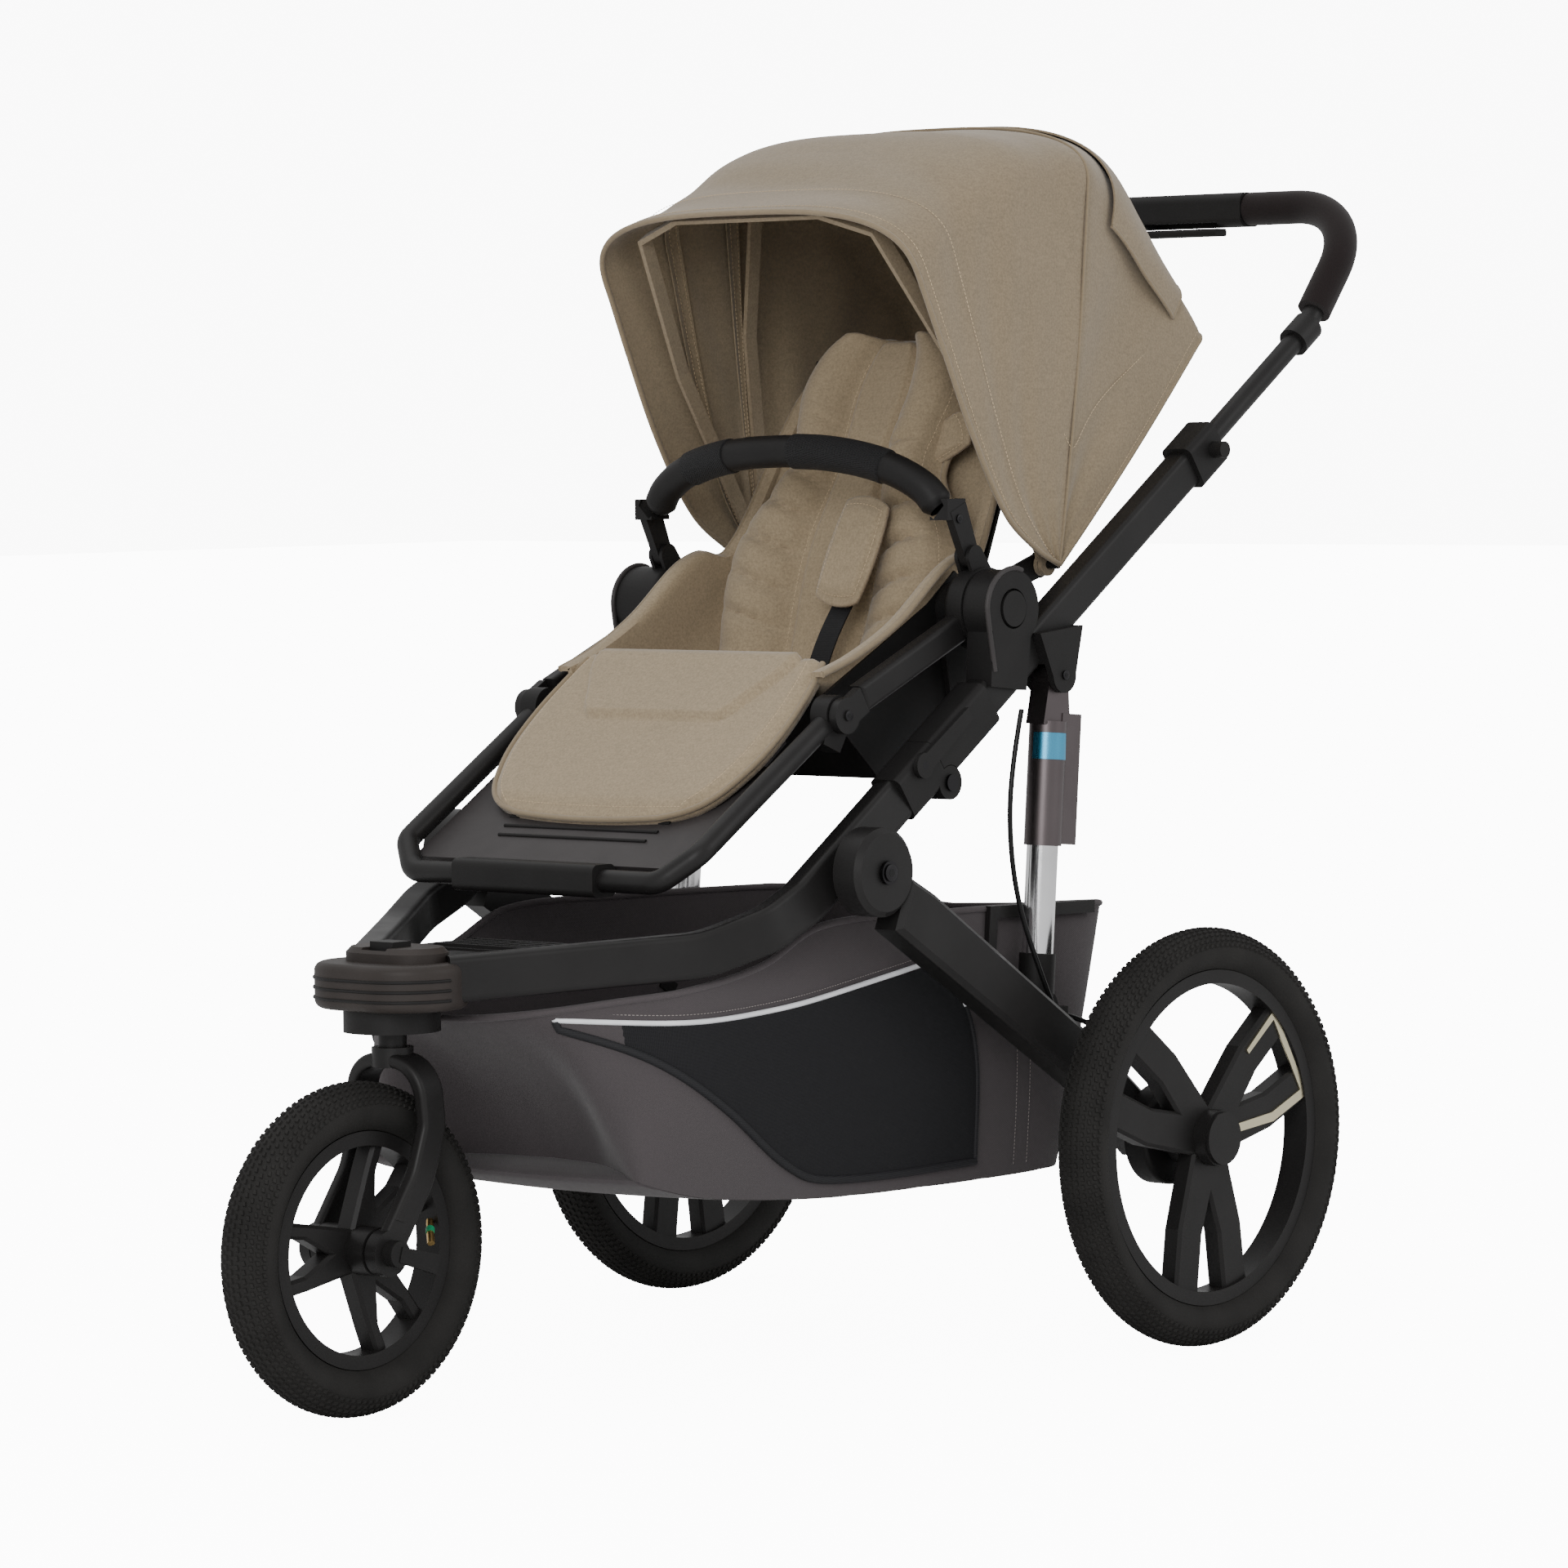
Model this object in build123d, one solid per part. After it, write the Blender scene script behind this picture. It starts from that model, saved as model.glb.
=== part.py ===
from build123d import *
from math import atan2, cos, degrees, hypot, radians, sin, tan
import os

# Jogging stroller: three air-tyred wheels, a folding tube frame and a reclining seat.
# Millimetres. +X is the child's left, -Y the direction of travel, +Z up.
# Every (y, z) below is measured from the floor under the rear axle; export() moves the
# whole model along Y so that the origin lies under the middle of the stroller.

# ---- overall sizes
WHEELBASE = 799.0
TRACK = 674.8                  # between the middles of the rear tyres
REAR_WHEEL_R = 200.0           # 16 inch wheel over the tyre
FRONT_WHEEL_R = 151.0          # 12 inch wheel over the tyre
REAR_TYRE_W = 50.0
FRONT_TYRE_W = 55.0
TYRE_H = {"front": 44.0, "rear": 40.0}
RIM_WALL = 13.0
TRAIL = 53.0                   # front axle ahead of the swivel axis
SWIVEL_Y = TRAIL - WHEELBASE
TUBE_X = 223.0                 # middle of each frame tube
SLOPE = 34.4                   # upper tube above the floor, degrees

# ---- fits and gaps
RUN = 0.05                     # radial play of a pin in its bore
GAP = 0.6                      # between faces that pass each other
SLIDE = 0.4                    # between the telescoping tubes

# ---- pivots, as (y, z)
TUBE_AT = (-65.0, 704.0)       # a point on the upper tube's middle line
FOLD = (-250.0, 548.0)
LEG = (-388.0, 474.0)
STRUT_TOP = (-88.0, 642.0)
STRUT_FOOT = (-116.0, 328.0)
HUB = (-156.0, 707.0)
CALF = (-354.0, 614.0)
BUMPER = (-168.0, 756.0)
CANOPY = (-35.0, 745.0)
AXLE = (0.0, REAR_WHEEL_R)
LATCH = (-292.0, 566.0)

# ---- frame
STEM_R = 13.0
LOWER_W, LOWER_H = 28.0, 42.0
UPPER_W, UPPER_H = 26.0, 36.0
TUBE_WALL = 2.2
UPPER_START, UPPER_END = -212.0, 150.0
COLLAR_W, COLLAR_H = 36.0, 46.0
KNUCKLE_R = 16.0
KNUCKLE_HALF = 9.0             # half the middle knuckle's width
PIN_R = 5.0
LEG_IN, LEG_OUT = 251.0, 281.0
LEG_CAP_R = 41.0
BEAM_R = 15.0
STRUT_X, STRUT_W = 229.0, 36.0
ROD_R = STRUT_W / 2 - 3.0
LUG_HALF = STRUT_W / 2         # half the strut lug's width
EYE_HALF = 11.0                # half the strut eye's width
DRUM_R = 48.0
DRUM_OUT = LEG_OUT + 25.0
AXLE_R = 6.0

# ---- handle
HANDLE_R = (UPPER_W - 2 * TUBE_WALL) / 2 - SLIDE
SLEEVE_R = 15.5                # joint between the bent bar and the telescoping tube
GRIP_R = 17.0
BAR_Y, BAR_Z = 425.0, 1096.0
HANDLE_BEND_Y = 325.0
HOUSING_HALF = 78.0

# ---- seat
SEAT_TUBE_X = 197.0
SEAT_TUBE_R = 10.5
HUB_R = 39.0
HUB_IN, HUB_OUT = 186.0, TUBE_X - UPPER_W / 2 - 1.0
ADAPTER_OUT = 241.0
SHELL_HALF = 164.0
SHELL_T = 4.0
PAD_HALF = 138.0
BUMPER_R = 16.0

# ---- canopy: bow angles are above the rearward direction, seen from the side
BOW_ANGLES = {"mid": 97.0, "front": 125.0}
CANOPY_SECTIONS = (
    (42.0, 342.0), (56.0, 404.0), (70.0, 452.0), (84.0, 425.0), (97.0, 425.0), (111.0, 421.0), (125.0, 412.0),
)
CANOPY_HALF = 190.0
CANOPY_T = 2.5
BOW_W, BOW_T = 16.0, 4.0

# ---- basket
BASKET_WALL = 3.0
WHEEL_SWEEP_CLEAR = 9.0

HANDLE_REACH = BAR_Y + GRIP_R
SHIFT_Y = (WHEELBASE + FRONT_WHEEL_R - HANDLE_REACH) / 2


def tube_z(y):
    """Height of the frame tube's middle line at y."""
    return TUBE_AT[1] + (y - TUBE_AT[0]) * tan(radians(SLOPE))


def box(x0, x1, y0, y1, z0, z1):
    return Pos((x0 + x1) / 2, (y0 + y1) / 2, (z0 + z1) / 2) * Box(x1 - x0, y1 - y0, z1 - z0)


def disc(centre, radius, x0, x1):
    """A round plate across X between x0 and x1, about a (y, z) centre."""
    return Pos((x0 + x1) / 2, centre[0], centre[1]) * Rot(0, 90, 0) * Cylinder(radius, abs(x1 - x0))


def plate(points, x0, x1):
    """A flat plate: a (y, z) outline spread from x0 to x1."""
    outline = Plane.YZ * make_face(Polyline(*points, close=True))
    return Pos(min(x0, x1), 0, 0) * extrude(outline, amount=abs(x1 - x0), dir=(1, 0, 0))


def strip(start, end, w0, w1):
    """Four (y, z) corners of a bar that tapers from w0 to w1."""
    dy, dz = end[0] - start[0], end[1] - start[1]
    n = hypot(dy, dz)
    ny, nz = -dz / n, dy / n
    return [
        (start[0] + ny * w0 / 2, start[1] + nz * w0 / 2),
        (start[0] - ny * w0 / 2, start[1] - nz * w0 / 2),
        (end[0] - ny * w1 / 2, end[1] - nz * w1 / 2),
        (end[0] + ny * w1 / 2, end[1] + nz * w1 / 2),
    ]


def bar(start, end, x0, x1, w0, w1=None):
    return plate(strip(start, end, w0, w1 or w0), x0, x1)


def swept(points, radii, section):
    """A section swept along straight runs joined by arcs."""
    path = FilletPolyline(*points, radius=radii)
    start = Plane(origin=path @ 0, x_dir=(1, 0, 0), z_dir=path % 0)
    return sweep(start * section, path=path)


def pair(shape):
    """The shape and its mirror image, as separate solids."""
    return shape.solids() + shape.mirror(Plane.YZ).solids()


def turned(centre, angle, shape):
    """Turn about an X axis through a (y, z) centre; positive lifts the front."""
    return Pos(0, *centre) * Rot(angle, 0, 0) * Pos(0, -centre[0], -centre[1]) * shape


def tube_box(y0, y1, width, height, drop=0.0):
    """A box along the sloping tube, from y0 to y1, around its middle line."""
    n = hypot(y1 - y0, tube_z(y1) - tube_z(y0))
    mid = ((y0 + y1) / 2, tube_z((y0 + y1) / 2))
    block = fillet(Box(width, n, height).edges().filter_by(Axis.Y), height * 0.16)
    return Pos(TUBE_X, *mid) * Rot(SLOPE, 0, 0) * Pos(0, 0, -drop) * block


# ---------------------------------------------------------------- wheels
def arm(points, widths, x0, x1, bevel=0.0):
    """A plate along a bent (y, z) line, as wide as given at each point."""
    left, right = [], []
    for i, (p, w) in enumerate(zip(points, widths)):
        a, b = points[max(i - 1, 0)], points[min(i + 1, len(points) - 1)]
        dy, dz = b[0] - a[0], b[1] - a[1]
        n = hypot(dy, dz)
        left.append((p[0] - dz / n * w / 2, p[1] + dy / n * w / 2))
        right.append((p[0] + dz / n * w / 2, p[1] - dy / n * w / 2))
    body = plate(left + right[::-1], x0, x1)
    if bevel:
        faces = body.faces().sort_by(Axis.X)
        body = chamfer(faces[0].edges() + faces[-1].edges(), bevel)
    return body


def around(turn, points):
    """Points given as (out, across) for a spoke at an angle, as (y, z)."""
    c, s = cos(radians(turn)), sin(radians(turn))
    return [(out * c - across * s, out * s + across * c) for out, across in points]


def wheel_disc(hub_r, rim_in, rim_out, half, hub_half, knee, foot, widths, turns):
    """Rim ring, hub and three forked spokes, about X at the origin.

    Each arm runs from the hub to its knee (out, across) and meets the rim foot mm off the middle.
    """
    ring = Rot(0, 90, 0) * (Cylinder(rim_out, 2 * half) - Cylinder(rim_in, 2 * half))
    groove = Rot(0, 90, 0) * (Cylinder(rim_out + 1, half) - Cylinder(rim_out - 4, half))
    body = ring - groove + Rot(0, 90, 0) * Cylinder(hub_r, 2 * hub_half)
    deep = half * 0.75
    for turn in turns:
        for side in (1, -1):
            line = around(turn, [(0, 0), (knee[0], side * knee[1]), (rim_in + 3, side * foot)])
            body += arm(line, widths, -deep, deep, 3.0)
    return body


def tyre(outer_r, rim_r, width):
    """A tyre ring about X: oval section that sits on the rim."""
    height = outer_r - rim_r
    mid = rim_r + height * 0.5
    oval = Plane.XZ * Pos(0, mid) * Ellipse(width / 2, height * 0.5)
    bead = Plane.XZ * Pos(0, rim_r + height * 0.22) * Rectangle(width * 0.56, height * 0.44)
    return revolve(oval + bead, axis=Axis.X)


def front_wheel():
    rim_out = FRONT_WHEEL_R - TYRE_H["front"]
    rim_in = rim_out - RIM_WALL
    at = Pos(0, -WHEELBASE, FRONT_WHEEL_R)
    rim = wheel_disc(22.0, rim_in, rim_out, 15.0, 33.0, (rim_in * 0.72, 23.0), 27.0, (36.0, 14.0, 14.0),
                     (60, 180, 300))
    rim -= Rot(0, 90, 0) * Cylinder(AXLE_R + RUN, 80)
    valve = Rot(18, 0, 0) * Pos(0, rim_in - 10, 0) * Rot(90, 0, 0) * Cylinder(3.0, 24)
    rim += valve
    return {
        "front_tyre": at * tyre(FRONT_WHEEL_R, rim_out, FRONT_TYRE_W),
        "front_rim": at * rim,
    }


def rear_wheel(side):
    rim_out = REAR_WHEEL_R - TYRE_H["rear"]
    rim_in = rim_out - RIM_WALL
    name = "left" if side > 0 else "right"
    at = Pos(side * TRACK / 2, 0, REAR_WHEEL_R)
    knee, foot = (rim_in * 0.6, 30.0), 38.0
    rim = wheel_disc(27.0, rim_in, rim_out, 14.0, 24.0, knee, foot, (40.0, 36.0, 36.0), (30, 150, 270))
    hub_inner = DRUM_OUT + GAP - TRACK / 2
    rim += Rot(0, 90, 0) * Pos(0, 0, side * (hub_inner - 20) / 2) * Cylinder(20, -hub_inner - 20)
    bore = disc((0, 0), AXLE_R + RUN, side * (hub_inner - 20), side * 20.0)
    cap = disc((0, 0), 25.0, side * 24.0, side * 28.0)
    face = side * 14.0 * 0.75
    edge = around(30, [(32, -13), (knee[0], -knee[1] - 8), (rim_in - 3, -foot - 8)])
    sill = around(30, [(rim_in - 6, -foot - 5), (rim_in - 6, foot + 8)])
    rise = around(30, [(rim_in - 3, foot + 8), (knee[0], knee[1] + 8)])
    accent = arm(edge, (8, 9, 9), face, face + side * 1.6)
    accent += arm(sill, (7, 7), face, face + side * 1.6)
    accent += arm(rise, (7, 5), face, face + side * 1.6)
    accent -= Rot(0, 90, 0) * (Cylinder(rim_out, 60) - Cylinder(rim_in, 60))
    return {
        f"rear_tyre_{name}": at * tyre(REAR_WHEEL_R, rim_out, REAR_TYRE_W),
        f"rear_rim_{name}": at * (rim - bore + cap),
        f"spoke_accent_{name}": at * accent,
    }


# ---------------------------------------------------------------- front fork
def fork():
    crown_z = 2 * FRONT_WHEEL_R + 15.0
    leg_x = FRONT_TYRE_W / 2 + 14.5
    section = RectangleRounded(31.0, 13.0, 4.5)
    legs = []
    for s in (1, -1):
        points = [
            (s * 3.0, SWIVEL_Y, crown_z), (s * leg_x, SWIVEL_Y, crown_z),
            (s * leg_x, SWIVEL_Y + 6, crown_z - 58),
            (s * leg_x, SWIVEL_Y - 10, crown_z - 104), (s * leg_x, -WHEELBASE, FRONT_WHEEL_R),
        ]
        path = FilletPolyline(*points, radius=[32.0, 40.0, 60.0])
        start = Plane(origin=path @ 0, x_dir=(0, 1, 0), z_dir=path % 0)
        legs.append(sweep(start * section, path=path))
    boss_in, boss_out = leg_x - 6.5, leg_x + 6.5
    crown = Pos(0, SWIVEL_Y, 0) * extrude(Plane.XY.offset(crown_z - 6) * Circle(19.0), amount=18.0)
    axle = (-WHEELBASE, FRONT_WHEEL_R)
    ends = disc(axle, 21.0, boss_in, boss_out) + disc(axle, 21.0, -boss_out, -boss_in)
    stem = Pos(0, SWIVEL_Y, 0) * extrude(Plane.XY.offset(crown_z + 6) * Circle(STEM_R), amount=45.0)
    body = crown + stem + legs[0] + legs[1] + ends
    body -= disc(axle, AXLE_R, -boss_out - 10, boss_out + 10)
    for s in (1, -1):
        body -= disc(axle, 30.0, s * boss_out, s * (boss_out + 4))
    lever = disc(axle, AXLE_R, -boss_out, boss_out)
    lever += disc(axle, 11.0, -boss_out - 8, -boss_out)
    lever += disc(axle, 12.0, boss_out, boss_out + 11.5)
    lever += bar(axle, (axle[0] + 46, axle[1] - 14), boss_out + 6.5, boss_out + 12.5, 14, 18)
    return {"fork": body, "quick_release": lever}


# ---------------------------------------------------------------- chassis
def lower_tube():
    section = RectangleRounded(LOWER_W, LOWER_H, 6.0)
    points = [
        (56.0, SWIVEL_Y + 18, 391.0), (TUBE_X - 27, SWIVEL_Y + 201, 406.0), (TUBE_X, -486.0, tube_z(-486.0) + 11),
        (TUBE_X, -440.0, tube_z(-440.0)), (TUBE_X, FOLD[0] - 52, tube_z(FOLD[0] - 52)),
    ]
    path = FilletPolyline(*points, radius=[110.0, 55.0, 60.0])
    start = Plane(origin=path @ 0, x_dir=(path % 0).cross(Vector(0, 0, 1)), z_dir=path % 0)
    return sweep(start * section, path=path)


def head():
    """The nose casting that joins both tubes and carries the swivel."""
    outline = Pos(0, SWIVEL_Y) * SlotOverall(150.0, 112.0)
    tubes = lower_tube() + lower_tube().mirror(Plane.YZ)
    nose = extrude(Plane.XY.offset(364.0) * outline, amount=42.0)
    nose = fillet(nose.edges().group_by(Axis.Z)[-1] + nose.edges().group_by(Axis.Z)[0], 8.0)
    nose -= tubes
    socket = Pos(0, SWIVEL_Y, 352.0) * Cylinder(STEM_R + RUN, 60.0)
    cap = extrude(Plane.XY.offset(406.0) * Pos(0, SWIVEL_Y + 8) * SlotOverall(104.0, 66.0), amount=13.0)
    cap = chamfer(cap.edges().group_by(Axis.Z)[-1], 5.0)
    knob_slot = box(-15.5, 15.5, SWIVEL_Y - 22, SWIVEL_Y + 12, 412.0, 430.0)
    knob = box(-14.5, 14.5, SWIVEL_Y - 12, SWIVEL_Y + 11, 412.3, 424.0)
    flange = Pos(0, SWIVEL_Y, 0) * extrude(Plane.XY.offset(343.0) * Circle(44.0), amount=21.0)
    flange -= socket
    return {
        "front_head": nose - socket,
        "head_cap": cap - knob_slot - tubes,
        "swivel_lock": knob,
        "swivel_bearing": flange,
    }


def tray():
    front = SWIVEL_Y + 116
    body = box(-95, 95, front, front + 70, 396, 408)
    body = fillet(body.edges().filter_by(Axis.Z), 18.0)
    neck = box(-34, 34, SWIVEL_Y + 58, front + 2, 396, 406)
    for i in range(5):
        body += box(-70, 70, front + 8 + 13 * i, front + 14 + 13 * i, 405.5, 411)
    return {"head_tray": body + neck}


def fold_hinge():
    """Two collars that meet over the fold pin; the upper one turns rearward and down."""
    mid = (TUBE_X - KNUCKLE_HALF, TUBE_X + KNUCKLE_HALF)
    outer = (TUBE_X - COLLAR_W / 2, TUBE_X + COLLAR_W / 2)
    face = Pos(TUBE_X, *FOLD) * Rot(SLOPE, 0, 0)
    split = Box(90, 100, 200)
    block = tube_box(FOLD[0] - 62, FOLD[0] + 62, COLLAR_W, COLLAR_H)
    lower = block - face * Pos(0, 50 - GAP / 2, 0) * split
    upper = block - face * Pos(0, -50 + GAP / 2, 0) * split
    cheeks = disc(FOLD, KNUCKLE_R, outer[0], mid[0] - GAP) + disc(FOLD, KNUCKLE_R, mid[1] + GAP, outer[1])
    middle = disc(FOLD, KNUCKLE_R, *mid)
    lower += cheeks
    upper += middle
    room = KNUCKLE_R + GAP
    lower -= disc(FOLD, room, mid[0] - GAP, mid[1] + GAP)
    upper -= disc(FOLD, room, outer[0] - 1, mid[0]) + disc(FOLD, room, mid[1], outer[1] + 1)
    lower -= lower_tube()
    bore = tube_box(UPPER_START - 6, UPPER_END, UPPER_W, UPPER_H)
    upper -= bore
    lower -= disc(FOLD, PIN_R, 180, 260)
    upper -= disc(FOLD, PIN_R + RUN, 180, 260)
    pin = disc(FOLD, PIN_R, *outer) + disc(FOLD, 8.0, outer[1], outer[1] + 3)
    return lower, upper, pin


def latches():
    """Hooks on the outside of the fold joint that hold the frame open."""
    x0 = TUBE_X + COLLAR_W / 2 + GAP
    hook = disc(LATCH, 12.0, x0, x0 + 5) + bar(LATCH, (LATCH[0] + 66, LATCH[1] + 46), x0, x0 + 5, 18, 13)
    hook -= disc(LATCH, 4.0 + RUN, x0 - 1, x0 + 6)
    pivot = disc(LATCH, 4.0, x0 - GAP, x0 + 5.0)
    return hook, pivot


def basket_solid(inset, lift):
    """The basket's outline shrunk by inset; lift raises its top edge, to open it."""
    nose = SWIVEL_Y + 46
    side = [
        (nose, 352.0 + lift), (nose + 140, 374.0 + lift), (-470.0, 392.0 + lift), (-388.0, 424.0 + lift),
        (-150.0, 424.0 + lift), (40.0, 413.0 + lift), (-28.0, 162.0), (-300.0, 164.0),
        (nose + 140, 184.0), (nose + 50, 216.0),
    ]
    plan = [
        (66.0, nose), (120.0, nose + 40), (200.0, nose + 160), (200.0, 60.0), (-200.0, 60.0),
        (-200.0, nose + 160), (-120.0, nose + 40), (-66.0, nose),
    ]
    faces = [make_face(Polyline(*points, close=True)) for points in (side, plan)]
    side_face, plan_face = [offset(face, amount=-inset) if inset else face for face in faces]
    prism = Pos(-300, 0, 0) * extrude(Plane.YZ * side_face, amount=600, dir=(1, 0, 0))
    column = extrude(plan_face, amount=700, dir=(0, 0, 1))
    low = FRONT_WHEEL_R + TRAIL + WHEEL_SWEEP_CLEAR + inset
    sweep_room = Pos(0, SWIVEL_Y, 0) * (
        Pos(0, 0, 100) * Cylinder(low, 240) + Pos(0, 0, 265) * Cone(low, low - 92, 90)
    )
    return (prism & column) - sweep_room


def basket():
    outer = basket_solid(0.0, 0.0)
    inner = basket_solid(BASKET_WALL, 60.0)
    return {"basket": outer - inner}


def chassis():
    lower_collar, _, pin = fold_hinge()
    tube = lower_tube()
    pivot_boss = disc(LEG, 15.0, TUBE_X + 4, LEG_IN - GAP) - tube
    pivot_pin = disc(LEG, 7.0, TUBE_X, LEG_OUT + 0.5) + disc(LEG, 11.0, LEG_OUT + 0.5, LEG_OUT + 4)
    tube_cut = tube - disc(LEG, 7.0, TUBE_X, LEG_OUT)
    boss_cut = pivot_boss - disc(LEG, 7.0, TUBE_X, LEG_OUT)
    _, latch_pivot = latches()
    parts = {
        "lower_tubes": pair(tube_cut),
        "lower_collars": pair(lower_collar),
        "frame_pins": pair(pin) + pair(boss_cut + pivot_pin) + pair(latch_pivot),
    }
    parts.update(head())
    parts.update(tray())
    parts.update(basket())
    return parts


# ---------------------------------------------------------------- upper frame
def upper_frame():
    _, collar, _ = fold_hinge()
    outer = tube_box(UPPER_START, UPPER_END, UPPER_W, UPPER_H)
    inner = tube_box(UPPER_START + 40, UPPER_END + 20, UPPER_W - 2 * TUBE_WALL, UPPER_H - 2 * TUBE_WALL)
    tube = outer - inner
    boss_y = UPPER_END - 4
    ring = tube_box(UPPER_END - 24, UPPER_END + 14, UPPER_W + 10, UPPER_H + 10)
    ring -= outer
    slide_hole = Pos(TUBE_X, boss_y, tube_z(boss_y)) * Rot(SLOPE, 0, 0) * Rot(90, 0, 0) * \
        Cylinder(HANDLE_R + SLIDE, 120)
    ring -= slide_hole
    knob_at = (boss_y + 6, tube_z(boss_y + 6))
    stud = disc(knob_at, 8.0, TUBE_X + UPPER_W / 2 + 5, TUBE_X + UPPER_W / 2 + 19)
    adapter = disc(HUB, HUB_R - 2, HUB_OUT + GAP, ADAPTER_OUT)
    adapter += bar(HUB, (HUB[0] - 8, tube_z(HUB[0] - 8) - 4), HUB_OUT + GAP, ADAPTER_OUT, 58, 52)
    adapter -= tube_box(UPPER_START, UPPER_END, UPPER_W + 0.2, UPPER_H + 0.2)
    adapter -= disc(HUB, 9.0 + RUN, 180, ADAPTER_OUT - 8)
    button_room = disc(HUB, 19.0, ADAPTER_OUT - 6, ADAPTER_OUT + 1)
    lug_x = (STRUT_X - LUG_HALF, STRUT_X + LUG_HALF)
    lug = bar(STRUT_TOP, (STRUT_TOP[0] - 4, tube_z(STRUT_TOP[0] - 4)), *lug_x, 34, 64)
    lug += disc(STRUT_TOP, 17.0, *lug_x)
    lug -= disc(STRUT_TOP, 25.0, STRUT_X - EYE_HALF - GAP, STRUT_X + EYE_HALF + GAP)
    lug -= tube_box(UPPER_START, UPPER_END, UPPER_W + 0.2, UPPER_H + 0.2)
    lug_pin = disc(STRUT_TOP, PIN_R, *lug_x)
    return {
        "upper_tubes": pair(tube),
        "upper_collars": pair(collar),
        "telescope_collars": pair(ring + stud),
        "seat_adapters": pair(adapter - button_room),
        "strut_lugs": pair(lug + lug_pin),
    }


def handle_path():
    z1 = tube_z(HANDLE_BEND_Y)
    return [
        (TUBE_X, 30.0, tube_z(30.0)), (TUBE_X, HANDLE_BEND_Y, z1), (TUBE_X, BAR_Y, BAR_Z),
        (-TUBE_X, BAR_Y, BAR_Z), (-TUBE_X, HANDLE_BEND_Y, z1), (-TUBE_X, 30.0, tube_z(30.0)),
    ]


def handlebar():
    radii = [60.0, 84.0, 84.0, 60.0]
    tube = swept(handle_path(), radii, Circle(HANDLE_R))
    foam_path = handle_path()
    start = (TUBE_X, HANDLE_BEND_Y + 14, tube_z(HANDLE_BEND_Y) + 17.5)
    foam = []
    for s in (1, -1):
        points = [(s * x, y, z) for x, y, z in (start, foam_path[2], (HOUSING_HALF + 1, BAR_Y, BAR_Z))]
        foam.append(swept(points, [84.0], Circle(GRIP_R)) - tube)
    housing = box(-HOUSING_HALF, HOUSING_HALF, BAR_Y - 17, BAR_Y + 16, BAR_Z - 18, BAR_Z + 17)
    housing = fillet(housing.edges().filter_by(Axis.X), 9.0)
    lever_room = box(-47, 47, BAR_Y - 18, BAR_Y + 4, BAR_Z - 30, BAR_Z - 12.5)
    lever = box(-45.5, 45.5, BAR_Y - 16, BAR_Y + 2.5, BAR_Z - 27, BAR_Z - 19.0)
    lever = fillet(lever.edges().filter_by(Axis.X), 3.0)
    joints = []
    for s in (1, -1):
        y = HANDLE_BEND_Y - 8
        sleeve = Pos(s * TUBE_X, y, tube_z(y)) * Rot(SLOPE, 0, 0) * Rot(90, 0, 0) * Cylinder(SLEEVE_R, 30)
        joints.append(sleeve)
    return {
        "handle_tube": tube + joints[0] + joints[1],
        "handle_grips": foam[0].solids() + foam[1].solids(),
        "handle_housing": housing - tube - lever_room,
        "handle_lever": lever,
    }


# ---------------------------------------------------------------- rear legs and struts
def leg_plate():
    points = [
        (-352.0, 468.0), (-316.0, 449.0), (-84.0, 297.0), (6.0, AXLE[1] + 26), (22.0, AXLE[1] + 6),
        (16.0, AXLE[1] - 20), (-14.0, AXLE[1] - 22), (-97.0, 248.0), (-372.0, 420.0),
    ]
    body = plate(points, LEG_IN, LEG_OUT)
    body = chamfer(body.faces().sort_by(Axis.X)[-1].edges(), 5.0)
    cap = disc(LEG, LEG_CAP_R, LEG_IN, LEG_OUT)
    cap = chamfer(cap.faces().sort_by(Axis.X)[-1].edges(), 5.0)
    return body + cap


def rear_legs():
    leg = leg_plate()
    leg -= disc(LEG, 7.0 + RUN, LEG_IN - 5, LEG_OUT + 5)
    stub = disc(AXLE, AXLE_R, LEG_OUT - 6, TRACK / 2 + 18)
    leg -= disc(AXLE, AXLE_R, LEG_OUT - 6, LEG_OUT + 5)
    beam = disc(AXLE, BEAM_R, -LEG_IN, LEG_IN)
    drum = disc(AXLE, DRUM_R, LEG_OUT, DRUM_OUT) - disc(AXLE, AXLE_R, 200, 400)
    drum = fillet(drum.edges().group_by(Axis.X)[-1].sort_by(SortBy.LENGTH)[-1], 5.0)
    link = bar((-160.0, 330.0), (-150.0, 424.0), 203.0, 209.0, 12)
    link += bar((-156.0, 419.0), (0.0, 415.0), 203.0, 209.0, 12)
    link += bar((-170.0, 336.0), (-152.0, 324.0), 203.0, LEG_IN, 14)
    lug = bar(STRUT_FOOT, (-126.0, 300.0), LEG_IN - 3.2, LEG_IN, 34, 44)
    clip = box(LEG_IN + 3, LEG_IN + 15, -128.0, -112.0, 309.0, 330.0) - leg
    return {
        "rear_legs": pair(leg),
        "rear_axle": [beam] + pair(stub),
        "brake_drums": pair(drum),
        "basket_links": pair(link),
        "leg_fittings": pair(lug) + pair(clip - cable_upper() - cable_lower()),
    }


def strut_axis(t):
    """A point on the strut's middle line, t from 0 at its top to 1 at its foot."""
    return (STRUT_TOP[0] + (STRUT_FOOT[0] - STRUT_TOP[0]) * t,
            STRUT_TOP[1] + (STRUT_FOOT[1] - STRUT_TOP[1]) * t)


def strut_cylinder(t0, t1, radius):
    a, b = strut_axis(t0), strut_axis(t1)
    length = hypot(b[0] - a[0], b[1] - a[1])
    tilt = degrees(atan2(a[0] - b[0], a[1] - b[1]))
    return Pos(STRUT_X, (a[0] + b[0]) / 2, (a[1] + b[1]) / 2) * Rot(-tilt, 0, 0) * Cylinder(radius, length)


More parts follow.
